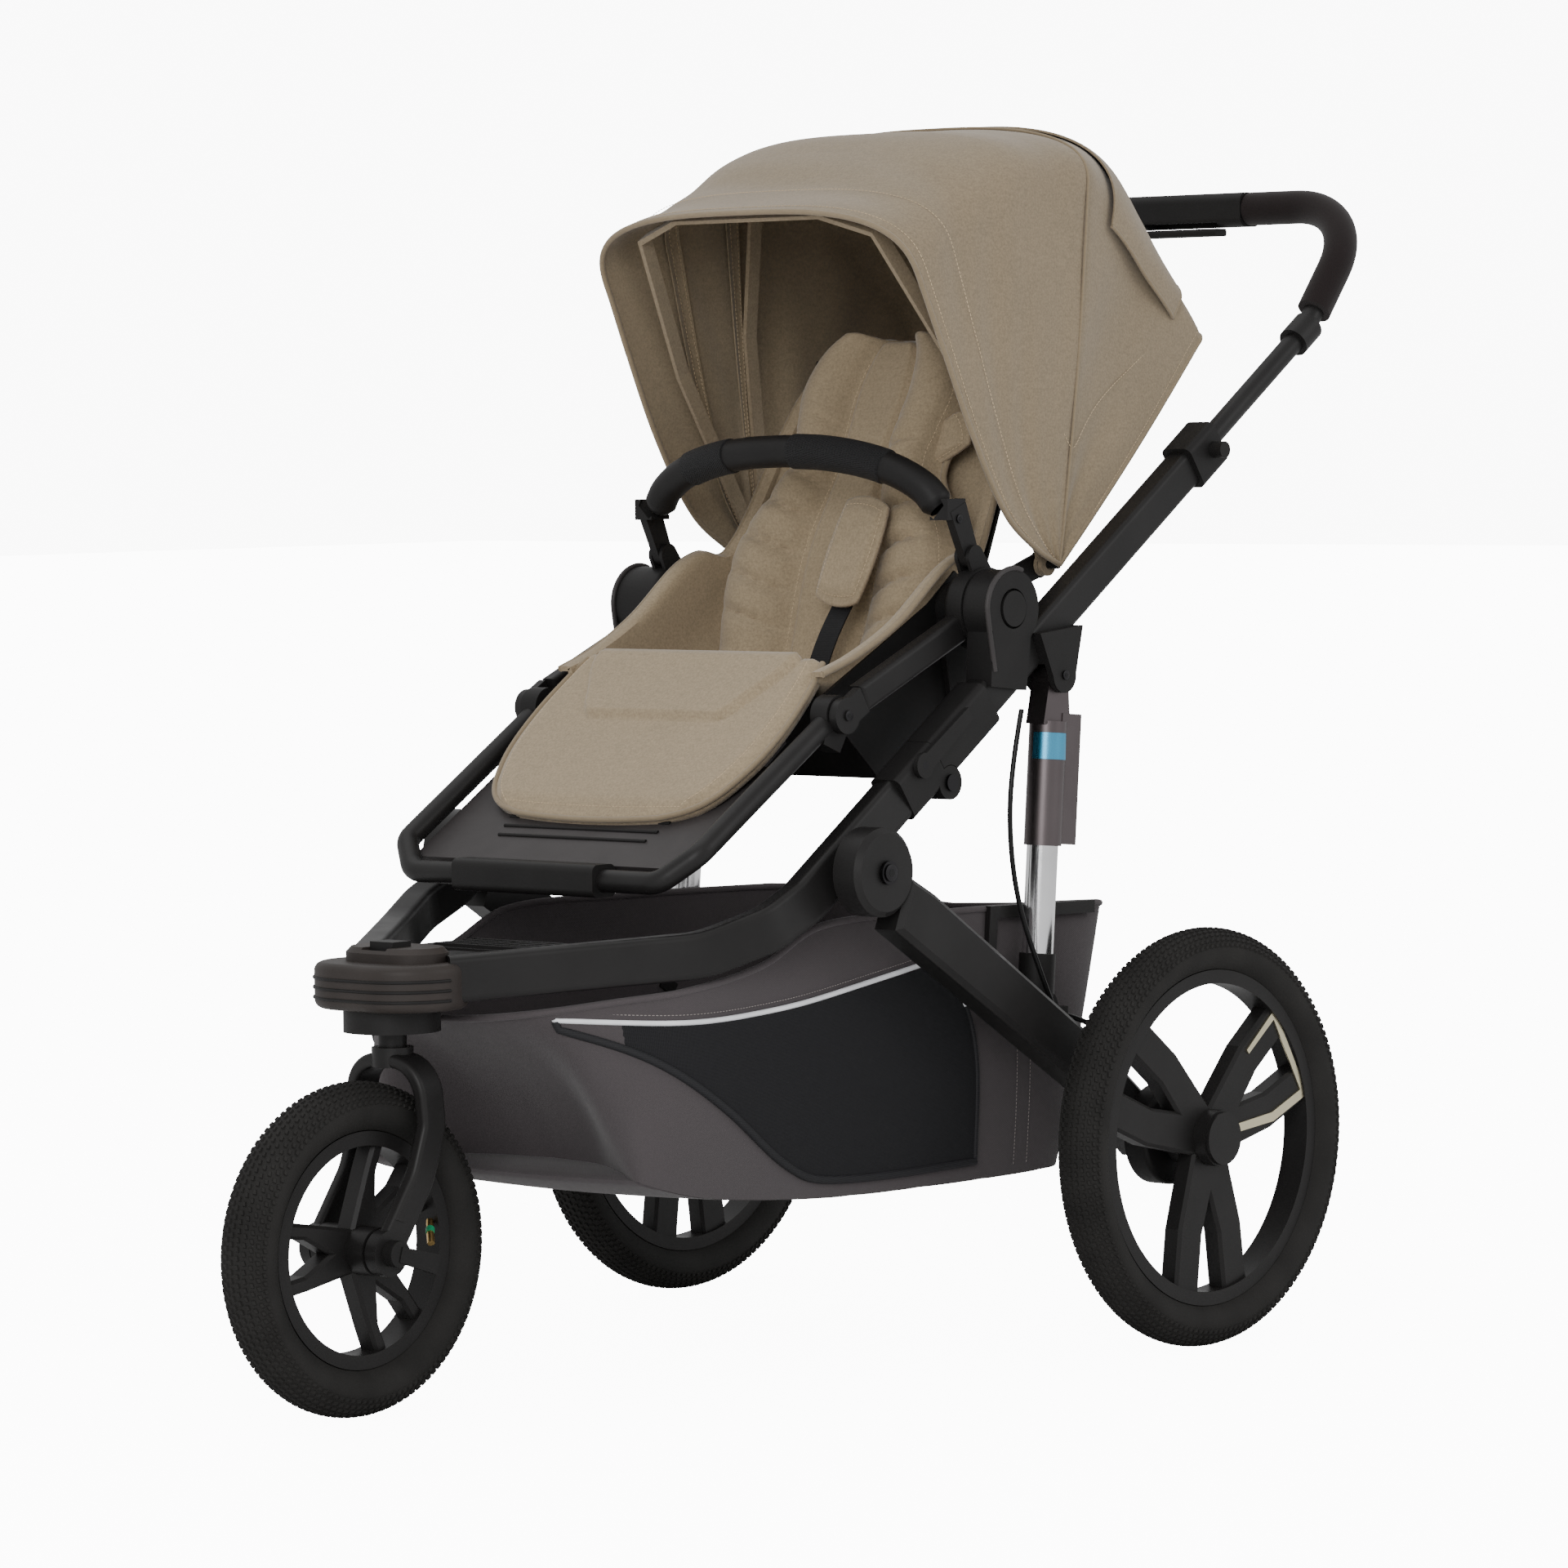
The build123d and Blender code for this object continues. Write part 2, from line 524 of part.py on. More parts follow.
def struts():
    half = STRUT_W / 2
    eye_x = (STRUT_X - EYE_HALF, STRUT_X + EYE_HALF)
    body = strut_cylinder(0.14, 0.515, half)
    rib = bar((strut_axis(0.12)[0] + 21, strut_axis(0.12)[1]),
              (strut_axis(0.515)[0] + 21, strut_axis(0.515)[1]), STRUT_X - 12, STRUT_X + 12, 28)
    shoulder = bar(strut_axis(0.0), strut_axis(0.15), *eye_x, 26, 40)
    eye = disc(STRUT_TOP, 16.0, *eye_x)
    window = strut_cylinder(0.175, 0.255, half + 0.8) - strut_cylinder(0.17, 0.26, half - 1.2)
    window &= box(STRUT_X - 2, STRUT_X + 30, -200, strut_axis(0.2)[0] + 6, 500, 700)
    housing = body + rib + shoulder + eye
    housing -= window
    housing -= strut_cylinder(0.40, 0.52, ROD_R)
    housing -= disc(STRUT_TOP, PIN_R + RUN, STRUT_X - 20, STRUT_X + 20)
    rod = strut_cylinder(0.40, 0.86, ROD_R)
    socket = strut_cylinder(0.84, 0.97, ROD_R + 2.5)
    socket += disc(STRUT_FOOT, 15.0, STRUT_X - 16, STRUT_X + 16)
    socket -= strut_cylinder(0.80, 0.86, ROD_R)
    return {
        "strut_housings": pair(housing),
        "strut_windows": pair(window),
        "strut_rods": pair(rod),
        "strut_sockets": pair(socket),
        "brake_cable_upper": pair(cable_upper()),
    }


CABLE_R = 2.5
CABLE_UPPER = [
    (246.0, -152.0, 612.0), (247.0, -168.0, 560.0), (247.5, -174.0, 502.0), (249.0, -167.0, 440.0),
    (252.0, -146.0, 382.0), (257.0, -122.0, 328.0),
]
CABLE_LOWER = [
    (262.0, -113.0, 322.0), (270.0, -94.0, 315.0), (282.0, -74.0, 303.0), (291.0, -51.0, 284.0),
    (293.0, -26.0, REAR_WHEEL_R + 60), (293.0, -16.0, REAR_WHEEL_R + 46),
]


def cable(points):
    """Straight runs joined by arcs as large as the runs allow."""
    radii = []
    corners = [Vector(*p) for p in points]
    for a, b, c in zip(corners, corners[1:], corners[2:]):
        turn = radians((b - a).get_angle(c - b))
        radii.append(0.45 * min((b - a).length, (c - b).length) / tan(turn / 2))
    path = FilletPolyline(*points, radius=radii)
    start = Plane(origin=path @ 0, z_dir=path % 0)
    return sweep(start * Circle(CABLE_R), path=path)


def cable_upper():
    return cable(CABLE_UPPER)


def cable_lower():
    return cable(CABLE_LOWER)


# ---------------------------------------------------------------- seat
SEAT_FRONT = (-345.0, 628.0)
SEAT_LOW = (-262.0, 552.0)
SEAT_CREASE = (-140.0, 596.0)
BACK_TOP = (4.0, 944.0)


def seat_shell():
    """The bucket under the liner: seat pan, back panel and two cheeks."""
    pan = plate(strip(SEAT_FRONT, SEAT_LOW, SHELL_T, SHELL_T), -SHELL_HALF, SHELL_HALF)
    pan += plate(strip(SEAT_LOW, SEAT_CREASE, SHELL_T, SHELL_T), -SHELL_HALF, SHELL_HALF)
    pan += plate(strip(SEAT_CREASE, BACK_TOP, SHELL_T, SHELL_T), -SHELL_HALF + 22, SHELL_HALF - 22)
    cheek = [SEAT_FRONT, SEAT_LOW, SEAT_CREASE, (-98.0, 700.0), (-150.0, 742.0), (-190.0, 712.0)]
    for s in (1, -1):
        pan += plate(cheek, s * (SHELL_HALF - SHELL_T), s * SHELL_HALF)
    return pan


def seat():
    tube_pts = [(-186.0, 690.0), (CALF[0] + 24, CALF[1] + 14)]
    side_tube = bar(tube_pts[0], tube_pts[1], SEAT_TUBE_X - 9, SEAT_TUBE_X + 9, 27)
    side_tube = fillet(side_tube.edges().filter_by(Axis.X, reverse=True), 5.0)
    hub = disc(HUB, HUB_R, HUB_IN, HUB_OUT)
    hub = fillet(hub.edges().group_by(Axis.X)[0], 6.0)
    hub -= side_tube
    axle = disc(HUB, 9.0, HUB_OUT, ADAPTER_OUT - 9)
    clevis = disc(CALF, 17.0, SEAT_TUBE_X + 0.5, SEAT_TUBE_X + 9) + \
        bar(tube_pts[1], CALF, SEAT_TUBE_X + 0.5, SEAT_TUBE_X + 9, 26)
    clevis -= side_tube
    clevis -= disc(CALF, PIN_R + RUN, 150, 250)
    arm = bar(SEAT_CREASE, HUB, SHELL_HALF + 0.4, SHELL_HALF + 6, 40, 46)
    arm += disc(HUB, 24, SHELL_HALF + 0.4, HUB_IN)
    sockets = bar((HUB[0] - 2, HUB[1] + 32), (BUMPER[0], BUMPER[1]), 188.0, 206.0, 26, 22)
    sockets += disc(BUMPER, 11.0, 188.0, 206.0)
    sockets -= disc(BUMPER, 15.0, 192.0, 202.0)
    sockets -= hub
    sockets -= disc(BUMPER, 4.0, 180, 215)
    bumper_pin = disc(BUMPER, 4.0, 188.0, 206.0)
    shell = seat_shell()
    seat_pad = plate(strip((-336.0, 650.0), (-150.0, 630.0), 30, 46), -PAD_HALF, PAD_HALF)
    back_pad = plate(strip((-131.0, 682.0), (-26.0, 932.0), 36, 30), -PAD_HALF, PAD_HALF)
    seat_pad = fillet(seat_pad.edges().filter_by(Axis.X), 9.0)
    back_pad = fillet(back_pad.edges().filter_by(Axis.X), 9.0)
    mount = bar(HUB, CANOPY, SHELL_HALF + 6.5, SHELL_HALF + 10.0, 20, 24) + \
        disc(CANOPY, 13.0, SHELL_HALF + 6.5, SHELL_HALF + 10.0)
    mount -= disc(HUB, 24.2, 100, 300)
    canopy_pin = disc(CANOPY, 4.0, SHELL_HALF + 10.0, CANOPY_HALF + 7)
    return {
        "seat_shell": shell,
        "seat_side_tubes": pair(side_tube + clevis),
        "seat_hubs": pair(hub + axle + arm - side_tube),
        "bumper_sockets": pair(sockets + bumper_pin),
        "seat_pad": seat_pad,
        "back_pad": back_pad,
        "canopy_mounts": pair(mount + canopy_pin),
    }


def calf_rest():
    low = (-538.0, 496.0)
    points = [
        (SEAT_TUBE_X - 10, CALF[0] - 8, CALF[1] - 6), (SEAT_TUBE_X - 10, *low),
        (SEAT_TUBE_X - 40, -561.0, 470.0), (-SEAT_TUBE_X + 40, -561.0, 470.0),
        (-SEAT_TUBE_X + 10, *low), (-SEAT_TUBE_X + 10, CALF[0] - 8, CALF[1] - 6),
    ]
    radii = [22.0, 26.0, 26.0, 22.0]
    loop = swept(points, radii, Circle(SEAT_TUBE_R))
    bracket_x = (SEAT_TUBE_X - 21.0, SEAT_TUBE_X - GAP)
    bracket = disc(CALF, 19.0, *bracket_x)
    bracket += bar(CALF, (-366.0, 584.0), *bracket_x, 34, 24)
    bracket -= loop
    pin = disc(CALF, PIN_R, SEAT_TUBE_X - GAP, SEAT_TUBE_X + 11)
    plate_half = SEAT_TUBE_X - 10 - SEAT_TUBE_R - 2
    foot = plate(strip((-405.0, 566.0), (-540.0, 480.0), 5, 5), -plate_half, plate_half)
    foot += plate(strip((-372.0, 590.0), (-405.0, 566.0), 5, 5), -plate_half + 30, plate_half - 30)
    pad = plate(strip((-368.0, 620.0), (-492.0, 537.0), 24, 20), -128.0, 128.0)
    pad = fillet(pad.edges().filter_by(Axis.X), 7.0)
    cover = box(-90, 90, -577, -546, 455, 485)
    cover = fillet(cover.edges().filter_by(Axis.X), 7.0)
    foot -= swept(points, radii, Circle(SEAT_TUBE_R + 1))
    return {
        "calf_loop": loop,
        "calf_brackets": pair(bracket + pin),
        "foot_plate": foot - cover,
        "foot_bar_cover": cover - loop,
        "calf_pad": pad,
    }


def bumper_bar():
    points = [
        (188.0, -190.0, 800.0), (128.0, -205.0, 862.0), (-128.0, -205.0, 862.0), (-188.0, -190.0, 800.0),
    ]
    arch = swept(points, [90.0, 90.0], Circle(BUMPER_R))
    ends = []
    for s in (1, -1):
        end = bar(BUMPER, (-188.0, 803.0), s * 192.6, s * 201.4, 20, 24)
        end += disc(BUMPER, 10.0, s * 192.6, s * 201.4)
        end += Pos(s * 190, -190.0, 801.0) * Box(22, 26, 20)
        end -= disc(BUMPER, 4.0 + RUN, s * 180, s * 215)
        ends.append(end - arch)
    return {"bumper_arch": arch, "bumper_ends": ends[0].solids() + ends[1].solids()}


# ---------------------------------------------------------------- canopy
def canopy_plane(angle):
    a = radians(angle)
    return Plane(origin=(0, *CANOPY), x_dir=(1, 0, 0), z_dir=(0, -sin(a), cos(a)))


def hood_section(angle, reach, inset, thick):
    """A thin arch standing on both pivots, in the half plane at the angle."""
    def arch(shrink):
        half, top = CANOPY_HALF - shrink, reach - shrink
        return [(half, 30.0), (half - 4, top * 0.55), (half - 34, top - 26), (half - 90, top - 5)]
    outer = arch(inset)
    inner = arch(inset + thick)
    points = outer + [(-x, y) for x, y in reversed(outer)]
    points += [(-x, y) for x, y in inner] + [p for p in reversed(inner)]
    return canopy_plane(angle) * make_face(Polyline(*points, close=True))


def hood(sections):
    faces = [hood_section(angle, reach, 0.0, CANOPY_T) for angle, reach in sections]
    body = None
    for a, b in zip(faces, faces[1:]):
        part = loft([a, b], ruled=True)
        body = part if body is None else body + part
    return body


def bow(angle, reach, inset):
    section = hood_section(angle, reach, inset, BOW_T)
    return extrude(section, amount=BOW_W / 2, both=True)


def canopy():
    reach = dict(CANOPY_SECTIONS)
    rear = [s for s in CANOPY_SECTIONS if s[0] <= 97.0]
    front = [s for s in CANOPY_SECTIONS if s[0] >= 97.0]
    seam = 0.3
    rear[-1] = (rear[-1][0] - seam, rear[-1][1])
    front[0] = (front[0][0] + seam, front[0][1])
    layers = {"front": 5.5, "mid": 11.0}
    bows = {}
    for name, inset in layers.items():
        angle = BOW_ANGLES[name] - (2.2 if name == "front" else 0.0)
        lug = disc(CANOPY, 11.0, CANOPY_HALF - inset - BOW_T, CANOPY_HALF - inset)
        stem = turned(CANOPY, angle, bar(CANOPY, (CANOPY[0] + 50, CANOPY[1]),
                                         CANOPY_HALF - inset - BOW_T, CANOPY_HALF - inset, BOW_W))
        arm = (lug + stem) - disc(CANOPY, 4.0 + RUN, 100, 300)
        bows[name] = bow(angle, reach[BOW_ANGLES[name]], inset) + arm + arm.mirror(Plane.YZ)
    return {
        "canopy_rear_panel": hood(rear),
        "canopy_front_panel": hood(front),
        "canopy_bow_mid": bows["mid"],
        "canopy_bow_front": bows["front"],
    }


def buttons():
    nodes = {}
    for s, name in ((1, "left"), (-1, "right")):
        body = disc(HUB, 17.0, s * (ADAPTER_OUT - 2.0), s * (ADAPTER_OUT + 1.5))
        nodes[f"hub_button_{name}"] = body
    return nodes


def build():
    hook, _ = latches()
    nodes = {"fold_latches": pair(hook), "brake_cable_lower": pair(cable_lower())}
    for group in (chassis, upper_frame, handlebar, rear_legs, struts, seat, calf_rest, bumper_bar,
                  canopy, fork, front_wheel, buttons):
        nodes.update(group())
    for side in (1, -1):
        nodes.update(rear_wheel(side))
    return nodes


def export(nodes):
    os.makedirs("parts", exist_ok=True)
    for name, shape in nodes.items():
        solids = shape if isinstance(shape, list) else shape.solids()
        moved = Compound(children=[Pos(0, SHIFT_Y, 0) * solid for solid in solids])
        export_step(moved, f"parts/{name}.step")
        print(name, len(solids))


def main():
    export(build())


if __name__ == "__main__":
    main()
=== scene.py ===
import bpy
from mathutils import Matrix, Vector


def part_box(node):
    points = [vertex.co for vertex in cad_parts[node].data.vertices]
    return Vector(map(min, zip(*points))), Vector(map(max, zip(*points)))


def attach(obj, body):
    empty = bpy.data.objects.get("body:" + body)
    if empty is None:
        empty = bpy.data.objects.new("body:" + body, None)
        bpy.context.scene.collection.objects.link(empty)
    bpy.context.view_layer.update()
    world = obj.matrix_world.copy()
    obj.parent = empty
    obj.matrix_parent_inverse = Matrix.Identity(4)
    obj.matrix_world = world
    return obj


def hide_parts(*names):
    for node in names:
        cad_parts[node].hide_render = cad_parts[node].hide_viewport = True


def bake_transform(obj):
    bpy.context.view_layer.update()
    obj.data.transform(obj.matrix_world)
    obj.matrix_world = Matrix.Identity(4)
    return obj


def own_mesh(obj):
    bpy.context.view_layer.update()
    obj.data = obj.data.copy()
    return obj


bl_info = {
    "name": "Jogging stroller",
    "version": (1, 0, 0),
    "blender": (4, 5, 0),
    "location": "3D View > Sidebar > Stroller",
    "description": "Soft goods, tyres, trim and finishes around the stroller's frame",
    "category": "Add Mesh",
}

from math import cos, pi, radians, sin, sqrt

import bpy
from mathutils import Matrix, Vector

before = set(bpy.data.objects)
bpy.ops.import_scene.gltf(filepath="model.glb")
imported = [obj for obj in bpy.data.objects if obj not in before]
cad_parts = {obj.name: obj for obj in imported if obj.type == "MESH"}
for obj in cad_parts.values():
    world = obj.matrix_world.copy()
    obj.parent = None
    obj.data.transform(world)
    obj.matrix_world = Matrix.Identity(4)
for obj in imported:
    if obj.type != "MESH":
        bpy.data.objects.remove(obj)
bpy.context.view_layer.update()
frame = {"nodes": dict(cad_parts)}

# ---------------------------------------------------------------- places
# Millimetres measured from the floor under the rear axle: +X is the child's left,
# -Y is the direction of travel. place() turns them into the frame's metres.
AXLE_Y = sum(corner[1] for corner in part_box("rear_tyre_left")) / 2


def place(x, y, z):
    return Vector((x / 1000, AXLE_Y + y / 1000, z / 1000))


def smooth(t):
    t = min(max(t, 0.0), 1.0)
    return t * t * (3 - 2 * t)


def through(stops, t):
    """A smooth curve through (t, value, ...) stops."""
    if t <= stops[0][0]:
        return tuple(stops[0][1:])
    if t >= stops[-1][0]:
        return tuple(stops[-1][1:])
    for i in range(len(stops) - 1):
        if stops[i][0] <= t <= stops[i + 1][0]:
            break
    t0, t1 = stops[i][0], stops[i + 1][0]
    f = (t - t0) / (t1 - t0)
    result = []
    for k in range(1, len(stops[0])):
        p1, p2 = stops[i][k], stops[i + 1][k]
        m1 = (p2 - stops[i - 1][k]) / (t1 - stops[i - 1][0]) if i > 0 else (p2 - p1) / (t1 - t0)
        last = i + 2 >= len(stops)
        m2 = (p2 - p1) / (t1 - t0) if last else (stops[i + 2][k] - p1) / (stops[i + 2][0] - t0)
        h = t1 - t0
        a = (2 * f ** 3 - 3 * f ** 2 + 1) * p1 + (f ** 3 - 2 * f ** 2 + f) * h * m1
        b = (-2 * f ** 3 + 3 * f ** 2) * p2 + (f ** 3 - f ** 2) * h * m2
        result.append(a + b)
    return tuple(result)


# ---------------------------------------------------------------- modelling helpers
def take(name):
    """The piece that was just added: named, and alone in the selection."""
    obj = bpy.context.object
    obj.name = name
    obj.data.name = name
    return obj


def clear():
    bpy.ops.object.select_all(action="DESELECT")


def only(obj):
    clear()
    obj.select_set(True)
    bpy.context.view_layer.objects.active = obj


def modify(obj, kind, **values):
    only(obj)
    modifier = obj.modifiers.new(kind.title(), kind)
    for key, value in values.items():
        setattr(modifier, key, value)
    bpy.ops.object.modifier_apply(modifier=modifier.name)


def soften(obj, angle=40):
    only(obj)
    bpy.ops.object.shade_smooth_by_angle(angle=radians(angle))


def outward(obj):
    only(obj)
    bpy.ops.object.mode_set(mode="EDIT")
    bpy.ops.mesh.select_all(action="SELECT")
    bpy.ops.mesh.remove_doubles(threshold=0.00002)
    bpy.ops.mesh.normals_make_consistent(inside=False)
    bpy.ops.object.mode_set(mode="OBJECT")


def sheet(name, nu, nv, shape, thick=0.0):
    """A grid whose points are placed by shape(u, v), u and v from 0 to 1."""
    clear()
    bpy.ops.mesh.primitive_grid_add(x_subdivisions=nu, y_subdivisions=nv, size=1.0)
    obj = take(name)
    for vertex in obj.data.vertices:
        u, v = vertex.co.x + 0.5, vertex.co.y + 0.5
        vertex.co = shape(u, v)
    if thick:
        modify(obj, "SOLIDIFY", thickness=thick, offset=0.0)
    soften(obj, 60)
    return obj


def prism(name, outline, x0, x1, round_by=0.0):
    """A plate: its (y, z) outline pulled from x0 to x1, with rounded edges."""
    clear()
    bpy.ops.mesh.primitive_circle_add(vertices=len(outline), radius=1.0, fill_type="NGON")
    obj = take(name)
    for vertex, (y, z) in zip(obj.data.vertices, outline):
        vertex.co = place(x0, y, z)
    only(obj)
    bpy.ops.object.mode_set(mode="EDIT")
    bpy.ops.mesh.select_all(action="SELECT")
    bpy.ops.mesh.extrude_region_move(
        TRANSFORM_OT_translate={"value": ((x1 - x0) / 1000, 0, 0)})
    bpy.ops.mesh.select_all(action="SELECT")
    bpy.ops.mesh.normals_make_consistent(inside=False)
    bpy.ops.object.mode_set(mode="OBJECT")
    if round_by:
        modify(obj, "BEVEL", width=round_by / 1000, segments=2, limit_method="ANGLE")
    soften(obj)
    return obj


def pipe(name, points, radius, smooth_line=False, sides=4):
    """A round cord or bar along points, as a mesh."""
    clear()
    curve = bpy.data.curves.new(name, "CURVE")
    curve.dimensions = "3D"
    spline = curve.splines.new("NURBS" if smooth_line else "POLY")
    spline.points.add(len(points) - 1)
    for target, point in zip(spline.points, points):
        target.co = (*point, 1.0)
    if smooth_line:
        spline.order_u = 3
        spline.use_endpoint_u = True
    curve.resolution_u = 4
    curve.bevel_depth = radius / 1000
    curve.bevel_resolution = sides // 2
    curve.use_fill_caps = True
    obj = bpy.data.objects.new(name, curve)
    bpy.context.scene.collection.objects.link(obj)
    only(obj)
    bpy.ops.object.convert(target="MESH")
    obj = take(name)
    soften(obj, 50)
    return obj


def resample(points, pitch):
    """Points every pitch millimetres along a polyline in metres, each with its direction."""
    step = pitch / 1000
    result, travelled, target = [], 0.0, 0.0
    for a, b in zip(points, points[1:]):
        length = (b - a).length
        while length > 0 and target <= travelled + length:
            f = (target - travelled) / length
            result.append((a.lerp(b, f), (b - a).normalized()))
            target += step
        travelled += length
    return result


def walls(base):
    """The four faces between one ring of four points and the next."""
    return [(base + k, base + (k + 1) % 4, base + (k + 1) % 4 + 4, base + k + 4) for k in range(4)]


def solid(name, verts, faces):
    """A piece from its points and faces, facing outward."""
    mesh = bpy.data.meshes.new(name)
    mesh.from_pydata([tuple(v) for v in verts], [], faces)
    obj = bpy.data.objects.new(name, mesh)
    bpy.context.scene.collection.objects.link(obj)
    outward(obj)
    return obj


def stitches(name, lines, normal_of, pitch=4.2, length=2.9, radius=0.42):
    """Rows of short raised threads along each line of points, on the side that normal_of gives."""
    verts, faces = [], []
    for line in lines:
        for spot, along in resample(line, pitch):
            up = normal_of(spot) if callable(normal_of) else Vector(normal_of)
            side = along.cross(up).normalized() * radius / 1000
            lift = up.normalized() * radius / 1000
            half = along * length / 2000
            base = len(verts)
            for end, shrink in ((-half, 0.35), (-half * 0.7, 1.0), (half * 0.7, 1.0), (half, 0.35)):
                for offset in (side, lift, -side, -lift):
                    verts.append(spot + end + offset * shrink)
            for ring in range(3):
                faces += walls(base + ring * 4)
            faces.append((base + 3, base + 2, base + 1, base))
            faces.append((base + 12, base + 13, base + 14, base + 15))
    thread = solid(name, verts, faces)
    soften(thread, 80)
    return thread


def edge_line(point, down, across=0):
    """Points down one side of a sheet, along its far end and back up the other side."""
    line = [point(0.0, i / down) for i in range(down + 1)]
    if across:
        line += [point(i / across, 1.0) for i in range(across + 1)]
    return line + [point(1.0, 1 - i / down) for i in range(down + 1)]


def join(name, pieces):
    clear()
    for piece in pieces:
        piece.select_set(True)
    bpy.context.view_layer.objects.active = pieces[0]
    bpy.ops.object.join()
    return take(name)


def mirrored(obj, name):
    """A copy on the other side of the stroller, with its own mesh."""
    copy = obj.copy()
    copy.data = obj.data.copy()
    copy.name = name
    copy.data.name = name
    bpy.context.scene.collection.objects.link(copy)
    for vertex in copy.data.vertices:
        vertex.co.x = -vertex.co.x
    copy.data.flip_normals()
    return copy


# ---------------------------------------------------------------- materials
class Nodes:
    """A material's node tree, with short calls for what the finishes below share."""

    def __init__(self, name, color, roughness, **sockets):
        self.base = color
        self.material = bpy.data.materials.new(name)
        self.material.use_nodes = True
        self.tree = self.material.node_tree
        self.shader = self.tree.nodes["Principled BSDF"]
        self.shader.inputs["Base Color"].default_value = (*color, 1.0)
        self.shader.inputs["Roughness"].default_value = roughness
        for key, value in sockets.items():
            self.shader.inputs[key.replace("_", " ")].default_value = value
        self.coords = self.tree.nodes.new("ShaderNodeTexCoord")
        self.height = None

    def link(self, source, target):
        self.tree.links.new(source, target)

    def mapped(self, scale, space="Object"):
        node = self.tree.nodes.new("ShaderNodeMapping")
        node.inputs["Scale"].default_value = scale
        self.link(self.coords.outputs[space], node.inputs["Vector"])
        return node.outputs["Vector"]

    def noise(self, scale, detail=2.0, vector=None, rough=0.5):
        node = self.tree.nodes.new("ShaderNodeTexNoise")
        node.inputs["Scale"].default_value = scale
        node.inputs["Detail"].default_value = detail
        node.inputs["Roughness"].default_value = rough
        self.link(vector or self.coords.outputs["Object"], node.inputs["Vector"])
        return node.outputs["Fac"]

    def waves(self, scale, direction, vector=None, distortion=0.0):
        node = self.tree.nodes.new("ShaderNodeTexWave")
        node.bands_direction = direction
        node.inputs["Scale"].default_value = scale
        node.inputs["Distortion"].default_value = distortion
        self.link(vector or self.coords.outputs["Object"], node.inputs["Vector"])
        return node.outputs["Fac"]

    def math(self, kind, a, b):
        node = self.tree.nodes.new("ShaderNodeMath")
        node.operation = kind
        for socket, value in zip(node.inputs, (a, b)):
            if isinstance(value, (int, float)):
                socket.default_value = value
            else:
                self.link(value, socket)
        return node.outputs["Value"]

    def ramp(self, fac, stops):
        node = self.tree.nodes.new("ShaderNodeValToRGB")
        elements = node.color_ramp.elements
        while len(elements) < len(stops):
            elements.new(0.5)
        for element, (position, color) in zip(elements, stops):
            element.position = position
            element.color = (*color, 1.0)
        self.link(fac, node.inputs["Fac"])
        return node.outputs["Color"]

    def shades(self, fac, *stops):
        """The material's own colour, made darker or lighter by a share at each position."""
        return self.ramp(fac, [(position, tint(self.base, by)) for position, by in stops])

    def blend(self, fac, a, b, kind="MIX"):
        node = self.tree.nodes.new("ShaderNodeMix")
        node.data_type = "RGBA"
        node.blend_type = kind
        if isinstance(fac, (int, float)):
            node.inputs["Factor"].default_value = fac
        else:
            self.link(fac, node.inputs["Factor"])
        for socket, value in ((node.inputs[6], a), (node.inputs[7], b)):
            if isinstance(value, tuple):
                socket.default_value = (*value, 1.0)
            else:
                self.link(value, socket)
        return node.outputs[2]

    def color(self, socket):
        self.link(socket, self.shader.inputs["Base Color"])

    def rough(self, fac, low, high):
        node = self.tree.nodes.new("ShaderNodeMapRange")
        node.inputs["To Min"].default_value = low
        node.inputs["To Max"].default_value = high
        self.link(fac, node.inputs["Value"])
        self.link(node.outputs["Result"], self.shader.inputs["Roughness"])

    def bump(self, fac, distance, strength=1.0):
        node = self.tree.nodes.new("ShaderNodeBump")
        node.inputs["Distance"].default_value = distance / 1000
        node.inputs["Strength"].default_value = strength
        self.link(fac, node.inputs["Height"])
        if self.height:
            self.link(self.height, node.inputs["Normal"])
        self.height = node.outputs["Normal"]
        self.link(self.height, self.shader.inputs["Normal"])


def tint(color, by):
    return tuple(min(1.0, max(0.0, c * by)) for c in color)


def heathered(name, color, grain=430.0, contrast=0.3, wrinkle=1.2, sheen=0.25):
    """Woven cloth of mixed yarns: fine flecks, a faint weave and soft creases."""
    m = Nodes(name, color, 0.92, Sheen_Weight=sheen, Sheen_Roughness=0.5, Specular_IOR_Level=0.2)
    fleck = m.noise(grain, 3.0, rough=0.7)
    slub = m.noise(1.0, 2.0, vector=m.mapped((grain * 0.25, grain * 0.25, grain * 0.9)))
    cloud = m.noise(9.0, 3.0)
    base = m.shades(fleck, (0.34, 1 - contrast), (0.66, 1 + contrast))
    base = m.blend(0.35, base, m.shades(slub, (0.35, 0.86), (0.65, 1.12)))
    base = m.blend(0.25, base, m.shades(cloud, (0.35, 0.9), (0.65, 1.07)))
    m.color(base)
    m.rough(fleck, 0.86, 0.97)
    m.bump(m.noise(26.0, 3.0), wrinkle, 0.5)
    m.bump(fleck, 0.25, 0.6)
    m.bump(m.math("MULTIPLY", m.waves(420.0, "Z"), m.waves(420.0, "X")), 0.12, 0.5)
    return m.material


